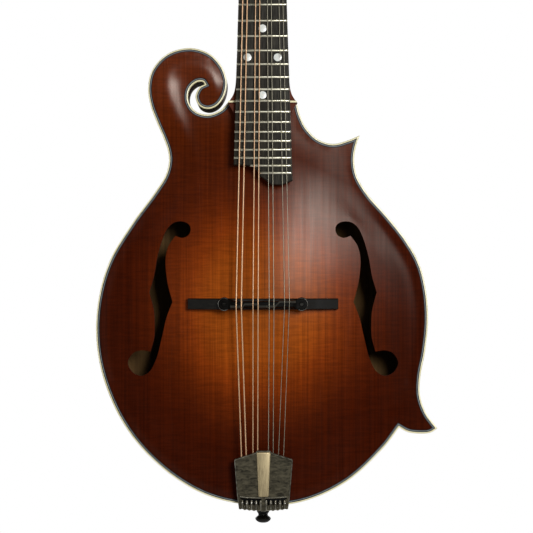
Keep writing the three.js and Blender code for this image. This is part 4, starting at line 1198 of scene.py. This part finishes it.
def over_body(name, radius, x_tail, x_saddle, nut_top, material):
    """The two runs that meet on the saddle."""
    shift = np.interp(x_saddle, *np.array(SADDLE_CREST).T)
    hook = Vector((x_tail * 0.95, FRONT - 6.5, 21))
    entry = Vector((x_tail, FRONT - 8.6, 57))
    crest = Vector((x_saddle, FRONT - SADDLE_TOP + BEDDED - radius, BRIDGE_Z + shift))
    tail_run = [hook.lerp(entry, t) for t in np.linspace(0, 1, 6)]
    tail_run += [entry.lerp(crest, t) for t in np.linspace(0.05, 1, 24)]
    speaking = [nut_top.lerp(crest, t) for t in np.linspace(0, 1, 60)]
    for part, path, start, nodes in (("after_length", tail_run, entry, ()),
                                     ("speaking", speaking, nut_top, [f"string_{name}"])):
        piece = tube(f"{name}_{part}", path, radius, material, body=None)
        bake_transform(piece)
        finish(piece, *nodes)


def on_head(name, radius, x_nut, nut_top, material, post):
    """The run behind the nut, and the turns on the post, wound from its inner side."""
    body = f"tuner_post_{'bass' if x_nut < 0 else 'treble'}_{post}"
    place = joint_place(f"{body}_turn")
    to_post = place.inverted()
    wrap = POST_WAIST + radius
    nut_back = to_post @ (NECK @ Vector((x_nut, -0.6 - radius, NUT_Z + 3.8)))
    heading = math.atan2(nut_back.y, nut_back.x)
    spread = math.acos(wrap / math.hypot(nut_back.x, nut_back.y))
    middle = to_post @ (HEAD @ Vector((0, 0, 0)))
    inwards = math.atan2(middle.y, middle.x)
    sense = min((1, -1), key=lambda s: abs(math.remainder(heading + s * spread - inwards, ROUND)))
    touch = heading + sense * spread
    meet = place @ Vector((wrap * math.cos(touch), wrap * math.sin(touch), WIND_HEIGHT))
    run = [nut_top, NECK @ Vector((x_nut, -0.75 - radius, NUT_Z + 3)), meet]
    finish(tube(f"{name}_head_run", run, radius, material))
    turns = 3 if material is BRONZE else 4
    coil = []
    for t in np.linspace(0, 1, 24 * turns):
        angle = touch + sense * ROUND * turns * t
        coil.append((wrap * math.cos(angle), wrap * math.sin(angle),
                     WIND_HEIGHT - t * turns * WIND_PITCH * radius))
    finish(tube(f"{name}_winding", coil, radius, material, body, place=place))


def strings():
    for name, (radius, x_tail, x_saddle, x_nut, post) in STRINGS.items():
        material = BRONZE if radius > THICKEST_PLAIN else STEEL
        nut_top = NECK @ Vector((x_nut, -0.85 - radius, NUT_Z + 1.5))
        over_body(name, radius, x_tail, x_saddle, nut_top, material)
        on_head(name, radius, x_nut, nut_top, material, post)


# ---- what the frame keeps
def paint_kept_nodes():
    """Inner pieces keep their CAD shape and take a bare wood or metal finish."""
    finishes = {"raw_wood": RAW_WOOD, "steel": DARK_STEEL, "nickel": NICKEL}
    slot_of = {s["node"]: s["material_slot"] for s in frame["record"]["subparts"]}
    for name, node in frame["nodes"].items():
        if not node.hide_render and slot_of[name] in finishes:
            paint(node, finishes[slot_of[name]])


# ---- studio
FLOOR_REACH, FLOOR_LEVEL = 2800, -450
# The camera looks squarely at the front; VIEW_WIDTH is what it sees at CAMERA_AWAY.
CAMERA_X, CAMERA_Z, CAMERA_AWAY, VIEW_WIDTH, SENSOR = 2.66, 197.2, 1600, 405.3, 36
LIGHT_ON_OBJECT = 0.08
LAMPS = {"key": ((0.5, -1.5, 0.52), (0.01, 0, 0.22), 0.46, 21),
         "fill": ((-1.6, -1.6, 0.4), (0, 0, 0.2), 1.4, 5),
         "back_left": ((-1.3, 1.3, 0.8), (0, 0, 0.3), 1.8, 20),
         "back_right": ((1.3, 1.4, 0.8), (0, 0, 0.3), 1.8, 20)}


def camera():
    lens = bpy.data.cameras.new("camera")
    lens.sensor_width = SENSOR
    lens.lens = SENSOR * CAMERA_AWAY / VIEW_WIDTH
    lens.clip_end = 50
    view = bpy.data.objects.new("camera", lens)
    bpy.context.scene.collection.objects.link(view)
    view.location = Vector((CAMERA_X, FRONT - CAMERA_AWAY, CAMERA_Z)) * MM
    view.rotation_euler = (math.pi / 2, 0, 0)
    bpy.context.scene.camera = view


def softbox(name, place, aim, side, watts):
    """A square lamp at a place, turned to its aim; all lengths in metres."""
    lamp = bpy.data.lights.new(name, "AREA")
    lamp.shape = "RECTANGLE"
    lamp.size = lamp.size_y = side
    lamp.energy = watts
    holder = bpy.data.objects.new(name, lamp)
    bpy.context.scene.collection.objects.link(holder)
    holder.location = place
    holder.rotation_euler = (Vector(aim) - Vector(place)).to_track_quat("-Z", "Y").to_euler()


def surroundings():
    """White where the camera looks past the object, and only a faint light on it."""
    world = bpy.data.worlds.new("studio")
    world.use_nodes = True
    tree = world.node_tree
    faint, white = tree.nodes["Background"], tree.nodes.new("ShaderNodeBackground")
    for node, strength in ((faint, LIGHT_ON_OBJECT), (white, 1.0)):
        node.inputs["Color"].default_value = (1, 1, 1, 1)
        node.inputs["Strength"].default_value = strength
    rays, blend = (tree.nodes.new(f"ShaderNode{kind}") for kind in ("LightPath", "MixShader"))
    for source, socket in ((rays.outputs["Is Camera Ray"], blend.inputs[0]),
                           (faint.outputs[0], blend.inputs[1]),
                           (white.outputs[0], blend.inputs[2]),
                           (blend.outputs[0], tree.nodes["World Output"].inputs["Surface"])):
        tree.links.new(source, socket)
    bpy.context.scene.world = world


def floor():
    """A floor that thins out into the white surroundings, so that it shows no edge."""
    pale = Surface("pale_floor", roughness=0.9, specular=0)
    x, y, _ = pale.axes()
    radius = pale.maths("SQRT", pale.maths("ADD", pale.maths("MULTIPLY", x, x),
                                           pale.maths("MULTIPLY", y, y)))
    share = pale.maths("DIVIDE", radius, FLOOR_REACH * MM)
    pale.colour(pale.ramp(pale.noise((2, 2, 2), 2), (0.3, 0.86), (0.7, 0.9)))
    pale.link(pale.ramp(share, (0.05, 1.0), (0.5, 0.0)), pale.shader.inputs["Alpha"])
    make("floor", circle(FLOOR_REACH, FLOOR_LEVEL, 96), [tuple(range(96))],
                  pale.material, body=None)


def studio():
    camera()
    for name, lamp in LAMPS.items():
        softbox(name, *lamp)
    surroundings()
    floor()
    bpy.context.scene.view_settings.view_transform = "Standard"


studio()
top_plate()
back_plate()
trim()
ribs()
neck()
headstock()
fingerboard()
frets()
position_dots()
nut()
riser()
tuners()
truss_rod_parts()
bridge()
tailpiece()
end_pin()
strings()
paint_kept_nodes()
